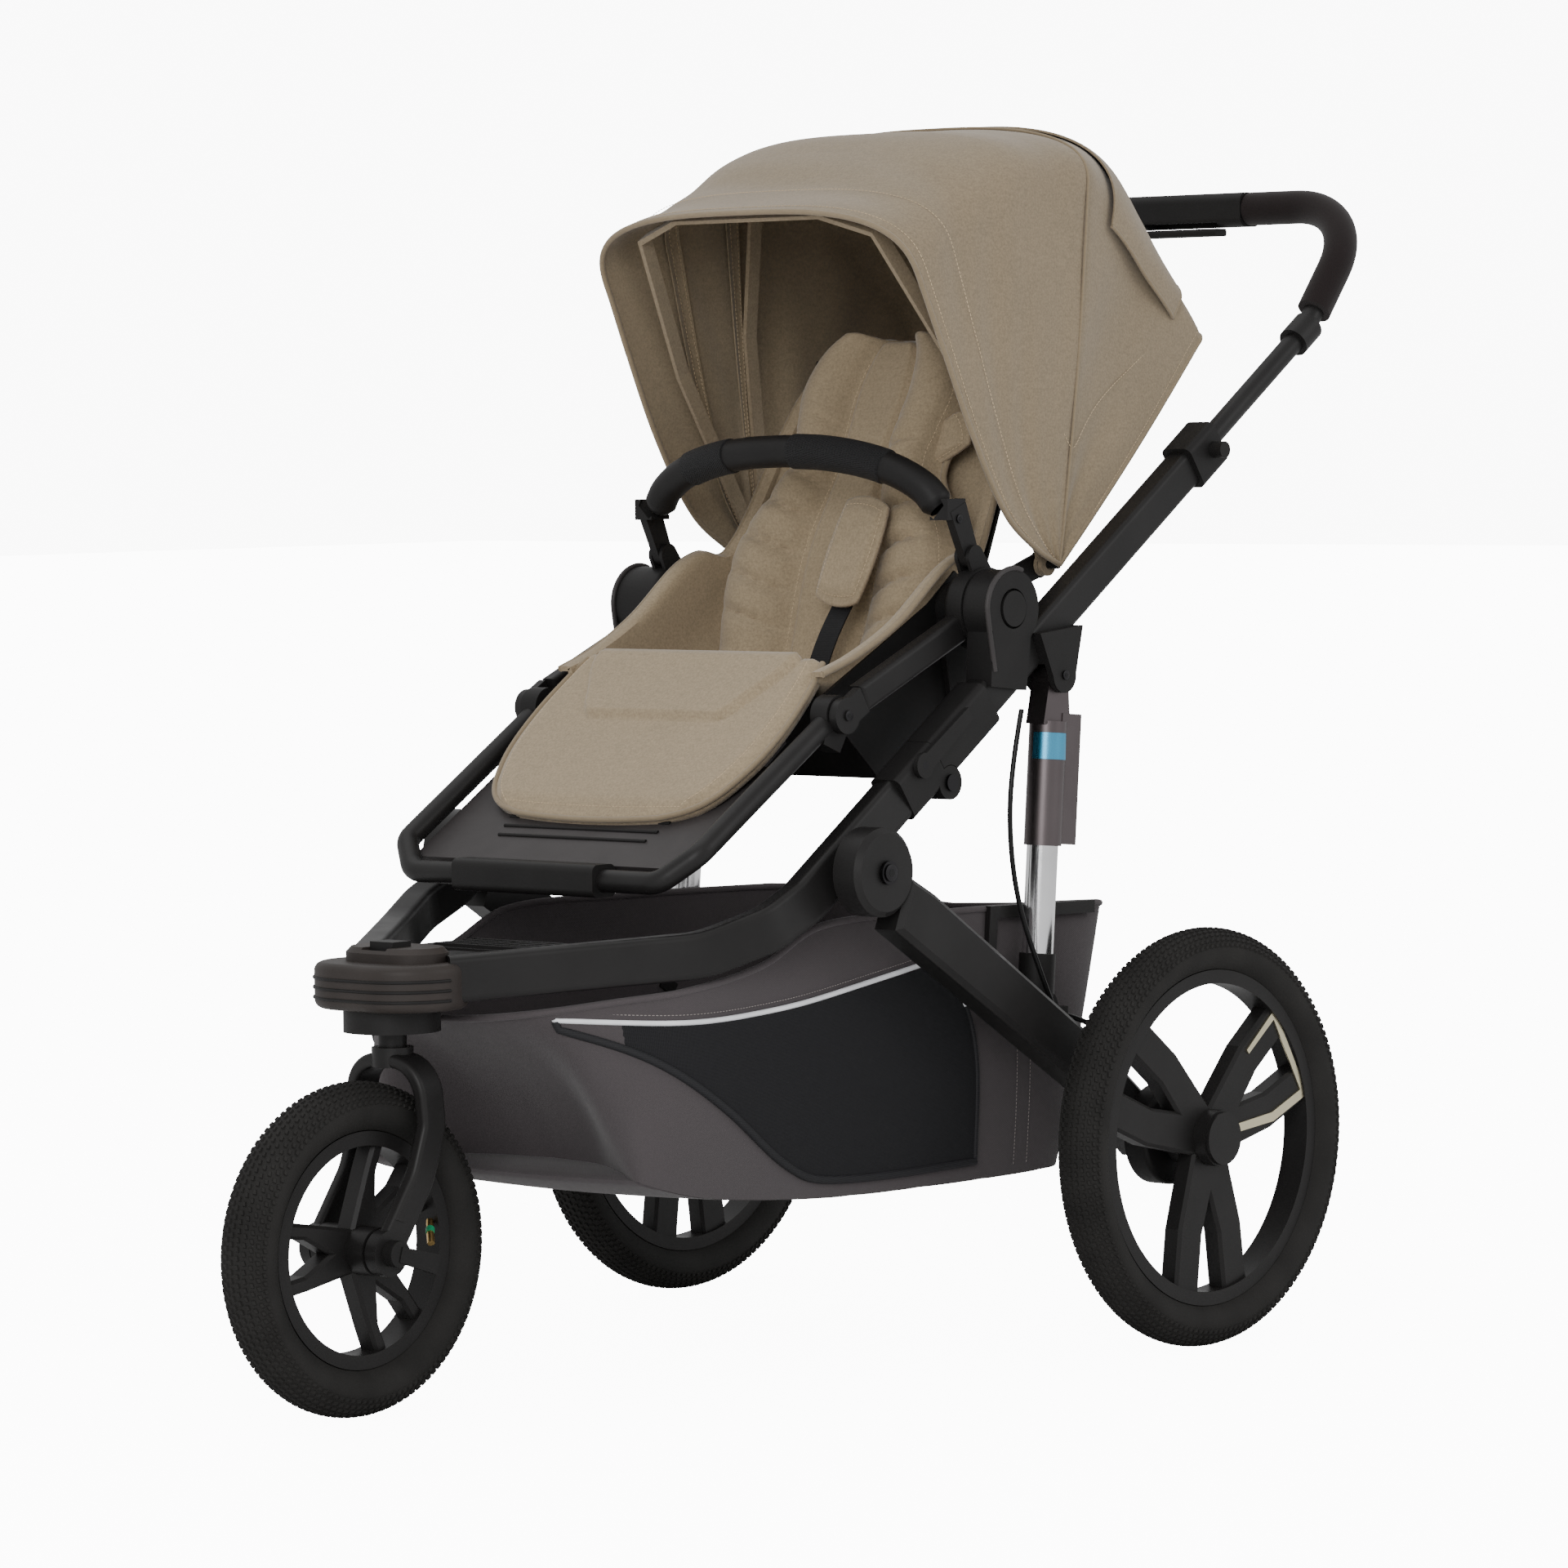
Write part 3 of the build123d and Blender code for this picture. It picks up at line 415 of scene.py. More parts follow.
def twill(name, color, pitch=300.0):
    """Charcoal polyester with a fine slanted rib."""
    m = Nodes(name, color, 0.85, Sheen_Weight=0.12, Specular_IOR_Level=0.3)
    rib = m.waves(pitch, "DIAGONAL", distortion=0.6)
    fleck = m.noise(900.0, 2.0)
    base = m.shades(rib, (0.2, 0.82), (0.8, 1.16))
    base = m.blend(0.4, base, m.shades(fleck, (0.3, 0.75), (0.7, 1.3)))
    m.color(m.blend(0.3, base, m.shades(m.noise(7.0), (0.35, 0.85), (0.65, 1.1))))
    m.bump(m.noise(16.0, 2.0), 1.6, 0.5)
    m.bump(rib, 0.15, 0.5)
    return m.material


def netting(name, color):
    """Open mesh cloth: dark holes between thin threads."""
    m = Nodes(name, color, 0.8, Specular_IOR_Level=0.25)
    holes = m.math("MULTIPLY", m.waves(330.0, "Y"), m.waves(330.0, "Z"))
    m.color(m.shades(holes, (0.15, 2.2), (0.45, 0.35)))
    m.bump(holes, 0.3, 0.6)
    m.bump(m.noise(12.0), 1.5, 0.5)
    return m.material


def powder_coat(name, color, roughness=0.42):
    """Satin black paint with a very fine orange peel."""
    m = Nodes(name, color, roughness, Specular_IOR_Level=0.26)
    grain = m.noise(1500.0, 2.0)
    m.color(m.shades(m.noise(18.0, 3.0), (0.35, 0.88), (0.7, 1.14)))
    m.rough(m.noise(40.0, 3.0), roughness - 0.05, roughness + 0.07)
    m.bump(grain, 0.02, 0.5)
    return m.material


def moulded(name, color, roughness=0.5, texture=0.05):
    """Moulded plastic with a fine spark-eroded skin."""
    m = Nodes(name, color, roughness, Specular_IOR_Level=0.22)
    skin = m.noise(1100.0, 3.0, rough=0.6)
    m.color(m.shades(m.noise(25.0, 2.0), (0.3, 0.9), (0.7, 1.12)))
    m.rough(skin, roughness - 0.06, roughness + 0.08)
    m.bump(skin, texture, 0.6)
    return m.material


def rubber(name, color, roughness=0.75):
    m = Nodes(name, color, roughness, Specular_IOR_Level=0.18)
    m.color(m.shades(m.noise(30.0, 4.0), (0.3, 0.8), (0.75, 1.25)))
    m.rough(m.noise(60.0, 3.0), roughness - 0.08, roughness + 0.1)
    m.bump(m.noise(700.0, 2.0), 0.12, 0.6)
    return m.material


def foam(name, color):
    m = Nodes(name, color, 0.9, Sheen_Weight=0.15, Specular_IOR_Level=0.2)
    cells = m.noise(1300.0, 3.0, rough=0.7)
    m.color(m.shades(cells, (0.3, 0.75), (0.7, 1.25)))
    m.bump(cells, 0.15, 0.8)
    return m.material


def knurled(name, color):
    """Rubber sleeve with raised diamonds, laid out on the sleeve's own UV map."""
    m = Nodes(name, color, 0.6, Specular_IOR_Level=0.35)
    slant = [m.waves(7.0, "DIAGONAL", vector=m.mapped((s, 1.6, 0), space="UV")) for s in (4.4, -4.4)]
    diamonds = m.math("MAXIMUM", slant[0], slant[1])
    # Painted shade and light: the grooves between the diamonds are painted darker and the raised diamonds
    # lighter.
    m.color(m.shades(diamonds, (0.3, 1.3), (0.9, 0.6)))
    m.bump(m.math("SUBTRACT", 1.0, diamonds), 0.9, 1.0)
    return m.material


def metal(name, color, roughness, streak=0.0):
    m = Nodes(name, color, roughness, Metallic=1.0)
    brushed = m.noise(1.0, 2.0, vector=m.mapped((900.0, 900.0, 30.0)))
    m.color(m.shades(m.noise(20.0), (0.3, 0.93), (0.7, 1.05)))
    m.rough(brushed, max(0.02, roughness - streak), roughness + streak)
    m.bump(brushed, 0.01, 0.3)
    return m.material


def webbing(name, color):
    m = Nodes(name, color, 0.7, Specular_IOR_Level=0.35)
    rib = m.waves(260.0, "Z")
    m.color(m.shades(rib, (0.3, 0.6), (0.8, 1.5)))
    m.bump(rib, 0.2, 0.6)
    return m.material


FLOOR_GLOW = 11.2


def studio_floor(name, color):
    m = Nodes(name, color, 0.9, Specular_IOR_Level=0.1)
    m.color(m.ramp(m.noise(0.6, 2.0), [(0.3, tint(color, 0.995)), (0.7, color)]))
    m.shader.inputs["Emission Color"].default_value = (1.0, 1.0, 1.0, 1.0)
    path = m.tree.nodes.new("ShaderNodeLightPath")
    glow = m.math("MULTIPLY", path.outputs["Is Camera Ray"], FLOOR_GLOW)
    m.link(glow, m.shader.inputs["Emission Strength"])
    return m.material


MATERIALS = {}


def finish_of(key):
    """Each finish is made once, from the panel's colours."""
    if not MATERIALS:
        colors = bpy.context.scene.stroller_colors
        cloth = tuple(colors.cloth)
        black = tuple(colors.frame)
        charcoal = tuple(colors.basket)
        MATERIALS.update({
            "canopy_cloth": heathered("Heathered canopy cloth", tint(cloth, 0.94), wrinkle=1.6),
            "canopy_lining": heathered("Heathered lining", tint(cloth, 0.95)),
            # Painted light: the seat goods use the shared cloth colour painted 1.2 times lighter, on the
            # liner, insert, shoulder pads and calf pad.
            "seat_cloth_painted_lighter": heathered("Heathered seat cloth", tint(cloth, 1.2), wrinkle=0.8),
            "cloth_edge": heathered("Cloth edge binding", tint(cloth, 0.95), contrast=0.1, wrinkle=0.2),
            "thread": moulded("Sewing thread", tint(cloth, 2.0), 0.8, 0.02),
            "basket_cloth": twill("Charcoal twill", charcoal),
            "basket_band": twill("Charcoal rim band", tint(charcoal, 1.1)),
            "mesh_cloth": netting("Basket netting", (0.0075, 0.0075, 0.0085)),
            "binding": webbing("Black binding tape", (0.012, 0.012, 0.014)),
            "webbing": webbing("Harness webbing", (0.008, 0.008, 0.009)),
            "reflective": moulded("Reflective piping", (0.86, 0.87, 0.9), 0.35, 0.01),
            "frame": powder_coat("Satin black paint", tint(black, 1.12)),
            "plastic": moulded("Black moulded plastic", tint(black, 1.05)),
            "plastic_grey": moulded("Dark grey rib", (0.042, 0.038, 0.038), 0.42, 0.02),
            "nose": moulded("Warm black nose casting", (0.034, 0.028, 0.0255), 0.5, 0.03),
            "basket_thread": moulded("Pale basket thread", (0.3, 0.27, 0.26), 0.8, 0.02),
            "valve_green": moulded("Green valve ring", (0.02, 0.3, 0.13), 0.45, 0.01),
            "wheel": moulded("Satin wheel plastic", tint(black, 1.2), 0.42, 0.02),
            "tyre": rubber("Tyre rubber", (0.0195, 0.0185, 0.0175)),
            "foam": foam("Handle foam", (0.0105, 0.0062, 0.0062)),
            "knurl": knurled("Knurled sleeve", (0.0095, 0.0095, 0.0105)),
            "cable": moulded("Cable sheath", (0.008, 0.008, 0.008), 0.25, 0.0),
            "chrome": metal("Polished rod", (0.94, 0.94, 0.95), 0.16, 0.03),
            "steel": metal("Dark zinc steel", (0.035, 0.034, 0.036), 0.36, 0.06),
            "anodised": metal("Dark anodised tube", (0.135, 0.116, 0.119), 0.36, 0.05),
            "blue": metal("Blue anodised window", (0.1, 0.42, 0.66), 0.28, 0.05),
            "accent": metal("Champagne spoke insert", (0.72, 0.66, 0.47), 0.38, 0.04),
            "brass": metal("Brass valve", (0.62, 0.42, 0.16), 0.3, 0.04),
            "floor": studio_floor("Studio floor", (0.86, 0.86, 0.86)),
        })
    return MATERIALS[key]


def dress(obj, key):
    obj.data.materials.clear()
    obj.data.materials.append(finish_of(key))
    return obj


def finish(piece, key, body=None):
    """Gives a piece its finish and the body that it rides on."""
    dress(piece, key)
    if body:
        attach(piece, body)
    return piece


CAD_FINISH = {
    "frame": ["lower_tubes", "upper_tubes", "handle_tube", "rear_legs", "calf_loop", "seat_side_tubes",
              "fork", "basket_links"],
    "steel": ["frame_pins", "rear_axle"],
    "nose": ["front_head", "head_cap"],
    "plastic_grey": ["foot_plate"],
    "wheel": ["front_rim", "rear_rim_left", "rear_rim_right"],
    "accent": ["spoke_accent_left", "spoke_accent_right"],
    "foam": ["handle_grips"],
    "anodised": ["strut_housings"],
    "blue": ["strut_windows"],
    "chrome": ["strut_rods"],
    "canopy_lining": ["canopy_bow_mid", "canopy_bow_front"],
}
PLASTIC_NODES = [
    "lower_collars", "swivel_bearing", "head_tray", "swivel_lock",
    "fold_latches", "upper_collars", "telescope_collars", "seat_adapters", "strut_lugs",
    "handle_housing", "handle_lever", "brake_drums", "leg_fittings", "strut_sockets", "seat_shell",
    "seat_hubs", "bumper_sockets", "canopy_mounts", "hub_button_left", "hub_button_right",
    "calf_brackets", "foot_bar_cover", "bumper_arch", "bumper_ends", "quick_release",
]


# ---------------------------------------------------------------- canopy
PIVOT = (-35.0, 745.0)
REAR_ANGLE, MID_ANGLE, FRONT_ANGLE = 42.0, 97.0, 125.0
# Hood sections by angle: where the flank ends, the crown's height, the half width and how boxy.
HOOD_SECTIONS = [
    (42.0, 316.0, 342.0, 184.0, 3.4), (49.0, 316.0, 362.0, 184.0, 2.8), (56.0, 318.0, 388.0, 184.0, 2.3),
    (63.0, 323.0, 424.0, 184.0, 2.1), (70.0, 336.0, 448.0, 188.0, 2.1), (77.0, 350.0, 436.0, 196.0, 2.4),
    (83.0, 361.0, 427.0, 202.0, 2.7), (90.0, 350.0, 419.0, 199.0, 3.0), (97.0, 345.0, 419.0, 198.0, 3.1),
    (104.0, 338.0, 410.0, 199.0, 3.1), (111.0, 329.0, 402.0, 199.0, 3.1), (118.0, 329.0, 402.0, 199.5, 3.1),
    (125.0, 332.0, 413.0, 200.0, 3.1),
]
TIP_HALF = 198.0
# The flank's stitched curve: how far along it, its angle and its share of the way over.
GUSSET = [
    (0.0, 92.0, 0.125), (0.16, 83.0, 0.1), (0.3, 76.0, 0.115), (0.55, 60.0, 0.2), (0.8, 50.0, 0.29),
    (0.92, 47.0, 0.335), (1.0, 47.5, 0.37),
]
HEM_AHEAD = [
    (0.0, 0.0), (0.08, 20.0), (0.21, 39.0), (0.42, 37.0), (0.66, 22.0), (0.8, 12.0), (1.0, 0.0),
]


def hood_point(angle, s, lift=0.0):
    """On the hood at an angle about the pivot; s runs from one pivot tip over to the other."""
    flank, crown, half, boxy = through(HOOD_SECTIONS, angle)
    side = 1.0 if s < 0.5 else -1.0
    t = 2 * min(s, 1 - s)
    turn_at = flank / (flank + 0.92 * half + 0.3 * (crown - flank))
    if t < turn_at:
        share = t / turn_at
        r = flank * share
        x = TIP_HALF + (half - TIP_HALF) * share + 4.0 * sin(pi * share) + lift
    else:
        phi = pi / 2 * (t - turn_at) / (1 - turn_at)
        x = (half + lift) * max(0.0, cos(phi)) ** (2 / boxy)
        r = flank + (crown - flank + lift) * max(0.0, sin(phi)) ** (2 / boxy)
    turn = radians(angle)
    ahead = 0.0
    if angle > MID_ANGLE:
        share = (angle - MID_ANGLE) / (FRONT_ANGLE - MID_ANGLE)
        ahead = through(HEM_AHEAD, r / crown)[0] * share
    y = PIVOT[0] + r * cos(turn) - ahead * sin(turn)
    z = PIVOT[1] + r * sin(turn) + ahead * cos(turn)
    return place(side * x, y, z)


def hood_normal(spot):
    centre = place(0, PIVOT[0], PIVOT[1] + 120)
    return (spot - centre).normalized()


def hood_line(angle, lift):
    return [hood_point(angle, i / 160, lift) for i in range(161)]


def hood_cover(name, a0, a1, rows, node):
    def shape(u, v):
        angle = a0 + (a1 - a0) * v
        flat = 1 - abs(2 * u - 1)
        fold = 1.4 * sin(pi * v) * sin(26 * u + 5 * v) * flat + 1.0 * sin(pi * v) * sin(17 * v + 40 * u)
        return hood_point(angle, u, fold - 4.0 * sin(pi * v) ** 2)
    cover = finish(sheet(name, 220, rows, shape, thick=0.0024), "canopy_cloth")
    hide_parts(node)
    return cover


def hood_strip(name, angle, wide, lift, s0, s1):
    """A sewn casing along the inside or outside of the hood."""
    def shape(u, v):
        return hood_point(angle + wide * (v - 0.5), s0 + (s1 - s0) * u, lift + 2.2 * sin(pi * v))
    return finish(sheet(name, 200, 6, shape, thick=0.0012), "canopy_lining")


def across_hood(piece):
    """Bakes a piece's placement into its mesh."""
    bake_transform(piece)


# ---------------------------------------------------------------- tyres
def tyre_mesh(name, centre_x, centre_y, radius, bead, width, rows, count):
    """A round carcass with small staggered knobs over its crown."""
    def surface(turn, across, lift=0.0):
        tall = (radius - bead) / 2
        mid = bead + tall
        a = across * pi * 0.82
        r = mid + (tall - 1.6 + lift) * cos(a)
        x = (width / 2 - 1.2 + lift) * sin(a)
        return place(centre_x + x, centre_y + r * cos(turn), radius + r * sin(turn))

    body = sheet(name, 144, 36, lambda u, v: surface(2 * pi * u, 2 * v - 1))
    outward(body)
    verts, faces = [], []
    for row in range(rows):
        across = (row - (rows - 1) / 2) / (rows - 1) * 0.98
        shift = 0.5 if row % 2 else 0.0
        long_half, wide_half = 0.34, 0.017 + 0.012 * abs(across)
        for i in range(count):
            middle = (i + shift) / count
            base = len(verts)
            for lift, shrink in ((-0.6, 1.0), (1.7, 0.66)):
                for du, dv in ((-1, -1), (1, -0.45), (1, 1), (-1, 0.45)):
                    turn = 2 * pi * (middle + du * long_half * shrink / count)
                    verts.append(surface(turn, across + dv * wide_half * 2 * shrink, lift))
            faces += walls(base)
            faces.append((base + 4, base + 5, base + 6, base + 7))
            faces.append((base + 3, base + 2, base + 1, base))
    tyre = join(name, [body, solid(name + "_knobs", verts, faces)])
    soften(tyre, 35)
    return tyre


# ---------------------------------------------------------------- operators
FLOOR_SIZE = 60.0
ROOM_LIGHT, BACKDROP_LIGHT = 0.78, 12.4
CAMERA_AT = (4033.2, -4718.1, 885.9)
CAMERA_BACK = (0.66590883, -0.74381659, 0.0574657)
CAMERA_TURN, CAMERA_ROLL = 41.84, -0.74
LENS, SENSOR = 144.8, 36.0
LOOK_AT = (0, 0, 0.6)
# Each light's name, place, width and power.
LIGHTS = (
    ("key", (2.6, -4.4, 2.3), 2.2, 105.0),
    ("side", (3.4, 1.6, 2.2), 2.0, 22.0),
    ("top", (-0.8, -0.6, 4.0), 3.0, 26.0),
)


class STROLLER_OT_stage(bpy.types.Operator):
    """Build the floor, the soft lights and the camera"""

    bl_idname = "stroller.stage"
    bl_label = "Studio stage"

    def execute(self, context):
        clear()
        bpy.ops.mesh.primitive_plane_add(size=FLOOR_SIZE, location=(0, 0, 0))
        floor = take("studio_floor")
        dress(floor, "floor")
        world = bpy.data.worlds.new("Studio")
        context.scene.world = world
        world.use_nodes = True
        self.backdrop(world.node_tree)
        for name, spot, size, power in LIGHTS:
            clear()
            bpy.ops.object.light_add(type="AREA", location=spot)
            light = context.object
            light.name = name + "_light"
            light.data.size = size
            light.data.energy = power
            aim = Vector(LOOK_AT) - Vector(spot)
            light.rotation_euler = aim.to_track_quat("-Z", "Y").to_euler()
        self.camera(context)
        return {"FINISHED"}

    def backdrop(self, tree):
        """Soft even light, with a brighter white behind the object."""
        soft = tree.nodes["Background"]
        soft.inputs["Color"].default_value = (1.0, 1.0, 1.0, 1.0)
        soft.inputs["Strength"].default_value = ROOM_LIGHT
        white = tree.nodes.new("ShaderNodeBackground")
        white.inputs["Strength"].default_value = BACKDROP_LIGHT
        path = tree.nodes.new("ShaderNodeLightPath")
        mix = tree.nodes.new("ShaderNodeMixShader")
        tree.links.new(path.outputs["Is Camera Ray"], mix.inputs["Fac"])
        tree.links.new(soft.outputs["Background"], mix.inputs[1])
        tree.links.new(white.outputs["Background"], mix.inputs[2])
        tree.links.new(mix.outputs["Shader"], tree.nodes["World Output"].inputs["Surface"])

    def camera(self, context):
        azimuth, roll = radians(CAMERA_TURN), radians(CAMERA_ROLL)
        back = Vector(CAMERA_BACK).normalized()
        level = Vector((cos(azimuth), sin(azimuth), 0.0))
        upright = back.cross(level)
        right = level * cos(roll) + upright * sin(roll)
        up = upright * cos(roll) - level * sin(roll)
        clear()
        bpy.ops.object.camera_add(location=place(*CAMERA_AT))
        camera = context.object
        camera.rotation_euler = Matrix((right, up, back)).transposed().to_euler()
        camera.data.lens = LENS
        camera.data.sensor_width = SENSOR
        context.scene.camera = camera


class STROLLER_OT_finishes(bpy.types.Operator):
    """Give every frame part its paint, plastic or metal"""

    bl_idname = "stroller.finishes"
    bl_label = "Frame finishes"

    def execute(self, context):
        nodes = frame["nodes"]
        groups = dict(CAD_FINISH, plastic=PLASTIC_NODES)
        for key, names in groups.items():
            for name in names:
                dress(nodes[name], key)
        return {"FINISHED"}


class STROLLER_OT_canopy(bpy.types.Operator):
    """Build the hood's cloth, casings, hems, seams and vent flap"""

    bl_idname = "stroller.canopy"
    bl_label = "Canopy"

    def execute(self, context):
        parts = {"front": [], "rear": []}
        front = hood_cover("canopy_front_cover", MID_ANGLE, FRONT_ANGLE, 40, "canopy_front_panel")
        rear = hood_cover("canopy_rear_cover", REAR_ANGLE, MID_ANGLE, 74, "canopy_rear_panel")
        self.between(front, "front")
        self.between(rear, "rear")
        seam = finish(pipe("canopy_crease_seam", hood_line(83.0, 0.4), 1.6), "cloth_edge")
        self.between(seam, "rear")
        for name, angle, body in (("front", FRONT_ANGLE, "canopy_front"), ("rear", REAR_ANGLE, "seat")):
            hem = pipe(f"canopy_{name}_hem", hood_line(angle, 0.0), 2.8)
            finish(hem, "cloth_edge", body)
            parts[name].append(hem)
        for name, angle, wide, part in (("front", 110.0, 3.4, "front"), ("mid", 95.6, 3.2, "rear")):
            casing = hood_strip(f"canopy_casing_{name}", angle, wide, -9.0, 0.02, 0.98)
            self.between(casing, part)
            parts[part].append(casing)
        flap = sheet("canopy_vent_flap", 90, 40, self.flap_point, thick=0.0018)
        finish(flap, "canopy_cloth")
        self.between(flap, "rear")
        edge = edge_line(self.flap_point, 40, 90)
        trim = finish(pipe("canopy_vent_edge", edge, 1.9), "cloth_edge")
        self.between(trim, "rear")
        curtain = sheet("canopy_rear_curtain", 60, 20, self.curtain_point, thick=0.0016)
        finish(curtain, "canopy_lining")
        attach(curtain, "seat")
        lines = {"front": [hood_line(a, lift) for a, lift in (
            (123.2, 1.4), (116.0, 0.2), (109.2, -10.6), (110.9, -10.6))]}
        lines["rear"] = [hood_line(a, lift) for a, lift in (
            (83.0, -1.0), (43.6, 1.2), (94.7, -10.6), (96.5, -10.6))]
        for side in (0, 1):
            lines["rear"].append([self.gusset(i / 90, side) for i in range(91)])
        for part, rows in lines.items():
            thread = stitches(f"canopy_{part}_stitches", rows, hood_normal)
            finish(thread, "thread")
            self.between(thread, part)
        return {"FINISHED"}

    def between(self, piece, part):
        if part == "front":
            across_hood(piece)
        else:
            across_hood(piece)

    def curtain_point(self, u, v):
        """The cloth that joins the hood's rear hem to the top of the backrest."""
        hem = hood_point(REAR_ANGLE, 0.16 + 0.68 * u, -1.0)
        spot = hem.lerp(place((1 - 2 * u) * 120.0, 8.0, 926.0), v)
        return spot - Vector((0, 0, 0.01 * sin(pi * v)))

    def flap_point(self, u, v):
        """The vent cover on the hood's sloping back, standing off at its sides."""
        side = abs(2 * u - 1)
        width = 0.196 + 0.006 * sin(pi * v)
        lift = 2.4 + 7.0 * smooth((side - 0.7) / 0.3) * sin(pi * v) ** 0.7
        return hood_point(75.0 - 24.0 * v, 0.5 + (u - 0.5) * 2 * width, lift)

    def gusset(self, t, side):
        """The stitched curve low on each flank, from the crease to the rear corner."""
        angle, share = through(GUSSET, t)
        return hood_point(angle, share if side == 0 else 1 - share, 0.2)


# ---------------------------------------------------------------- seat
TUB_CENTRE = [
    (0.0, -343.0, 640.0), (0.12, -300.0, 622.0), (0.28, -235.0, 606.0), (0.42, -172.0, 612.0),
    (0.52, -132.0, 655.0), (0.64, -104.0, 722.0), (0.82, -50.0, 845.0), (1.0, -8.0, 945.0),
]
TUB_RIM = [
    (0.0, -346.0, 645.0), (0.12, -300.0, 661.0), (0.28, -240.0, 692.0), (0.42, -180.0, 737.0),
    (0.52, -148.0, 751.0), (0.64, -112.0, 752.0), (0.82, -56.0, 846.0), (1.0, -10.0, 944.0),
]
TUB_HALF = [(0.0, 156.0), (0.3, 160.0), (0.55, 158.0), (0.7, 146.0), (0.9, 128.0), (1.0, 96.0)]


def tub_point(u, v):
    side = 2 * u - 1
    low_y, low_z = through(TUB_CENTRE, v)
    rim_y, rim_z = through(TUB_RIM, v)
    half = through(TUB_HALF, v)[0]
    a = abs(side)
    if a < 0.5:
        x, wall = half * 0.86 * a / 0.5, 0.0
    elif a < 0.9:
        f = (a - 0.5) / 0.4
        x, wall = half * (0.86 + 0.14 * sin(pi / 2 * min(1.0, 1.6 * f))), 0.97 * f ** 1.15
    else:
        f = (a - 0.9) / 0.1
        x, wall = half + 12.0 * f, 0.97 + 0.03 * sin(pi * f / 1.4)
    x *= 1 if side > 0 else -1
    return place(x, low_y + (rim_y - low_y) * wall, low_z + (rim_z - low_z) * wall + 6.0 * smooth(wall))


INSERT_LINE = [
    (0.0, -300.0, 610.0), (0.16, -226.0, 598.0), (0.28, -164.0, 610.0), (0.38, -139.0, 662.0),
    (0.55, -106.0, 765.0), (0.72, -72.0, 850.0), (0.88, -40.0, 915.0), (1.0, -14.0, 960.0),
]
INSERT_HALF = [
    (0.0, 118.0), (0.2, 132.0), (0.34, 138.0), (0.46, 150.0), (0.54, 142.0), (0.62, 112.0), (0.68, 92.0),
    (0.76, 98.0), (0.84, 105.0), (0.92, 94.0), (0.97, 70.0), (1.0, 38.0),
]


def insert_frame(v):
    y, z = through(INSERT_LINE, v)
    y1, z1 = through(INSERT_LINE, min(1.0, v + 0.02))
    y0, z0 = through(INSERT_LINE, max(0.0, v - 0.02))
    dy, dz = y1 - y0, z1 - z0
    n = sqrt(dy * dy + dz * dz)
    return y, z, -dz / n, dy / n


PINCH_DEPTH, PINCH_RATE = 9.5, 104


def insert_height(side, v):
    """How far the padded insert stands off its base line."""
    edge = smooth((1 - abs(side)) / 0.16)
    roll = sin(pi * min(1.0, max(0.0, (abs(side) - 0.3) / 0.7))) ** 0.8
    centre = 12.0 * smooth((0.42 - abs(side)) / 0.2)
    crease = -5.0 * max(0.0, 1 - ((abs(side) - 0.33) / 0.07) ** 2) if abs(abs(side) - 0.33) < 0.07 else 0.0
    wrinkle = 0.0
    if 0.36 < v < 0.78:
        span = sin(pi * (v - 0.36) / 0.42) ** 0.5
        groove = max(0.0, sin(PINCH_RATE * v - 7.0 * abs(side))) ** 2.4
        beside = smooth((abs(side) - 0.34) / 0.08) * smooth((0.93 - abs(side)) / 0.22)
        wrinkle = -PINCH_DEPTH * span * groove * beside
    return (34.0 * roll + centre + crease + wrinkle + 10.0) * edge


def insert_point(u, v, under=False):
    side = 2 * u - 1
    y, z, ny, nz = insert_frame(v)
    half = through(INSERT_HALF, v)[0]
    ends = smooth(v / 0.03) * smooth((1 - v) / 0.03)
    height = -4.0 if under else insert_height(side, v) * (0.2 + 0.8 * ends)
    return place(side * half, y + ny * height, z + nz * height)


CALF_LINE = ((-322.0, 655.0), (-486.0, 518.0))
CALF_HALF = [
    (0.0, 150.0), (0.1, 156.0), (0.35, 163.0), (0.6, 161.0), (0.8, 148.0), (0.9, 134.0), (0.96, 116.0),
    (1.0, 92.0),
]


def calf_point(u, v, under=False):
    """The calf pad: thin at its sewn hem, with a raised inset near the seat."""
    side = 2 * u - 1
    (y0, z0), (y1, z1) = CALF_LINE
    n = sqrt((y1 - y0) ** 2 + (z1 - z0) ** 2)
    ny, nz = (z1 - z0) / n, (y0 - y1) / n
    half = through(CALF_HALF, v)[0]
    bow = 6.0 * (1 - side * side) * smooth((v - 0.8) / 0.2)
    edge = min(smooth((1 - abs(side)) / 0.1), smooth((1 - v) / 0.1), smooth(v / 0.04) * 0.4 + 0.6)
    inset_half = 0.86 - 0.26 * smooth(v / 0.42)
    corner = 0.1 * max(0.0, (v - 0.34) / 0.1) ** 2
    inside = smooth((inset_half - corner - abs(side)) / 0.04) * smooth((0.44 - v) / 0.028)
    rim = 1 - abs(2 * inside - 1)
    height = -3.0 if under else 7.0 + 9.0 * edge + 8.0 * inside - 5.0 * rim
    length = v + bow / n
    return place(side * half, y0 + (y1 - y0) * length + ny * height * 0.64,
                 z0 + (z1 - z0) * length + nz * height)


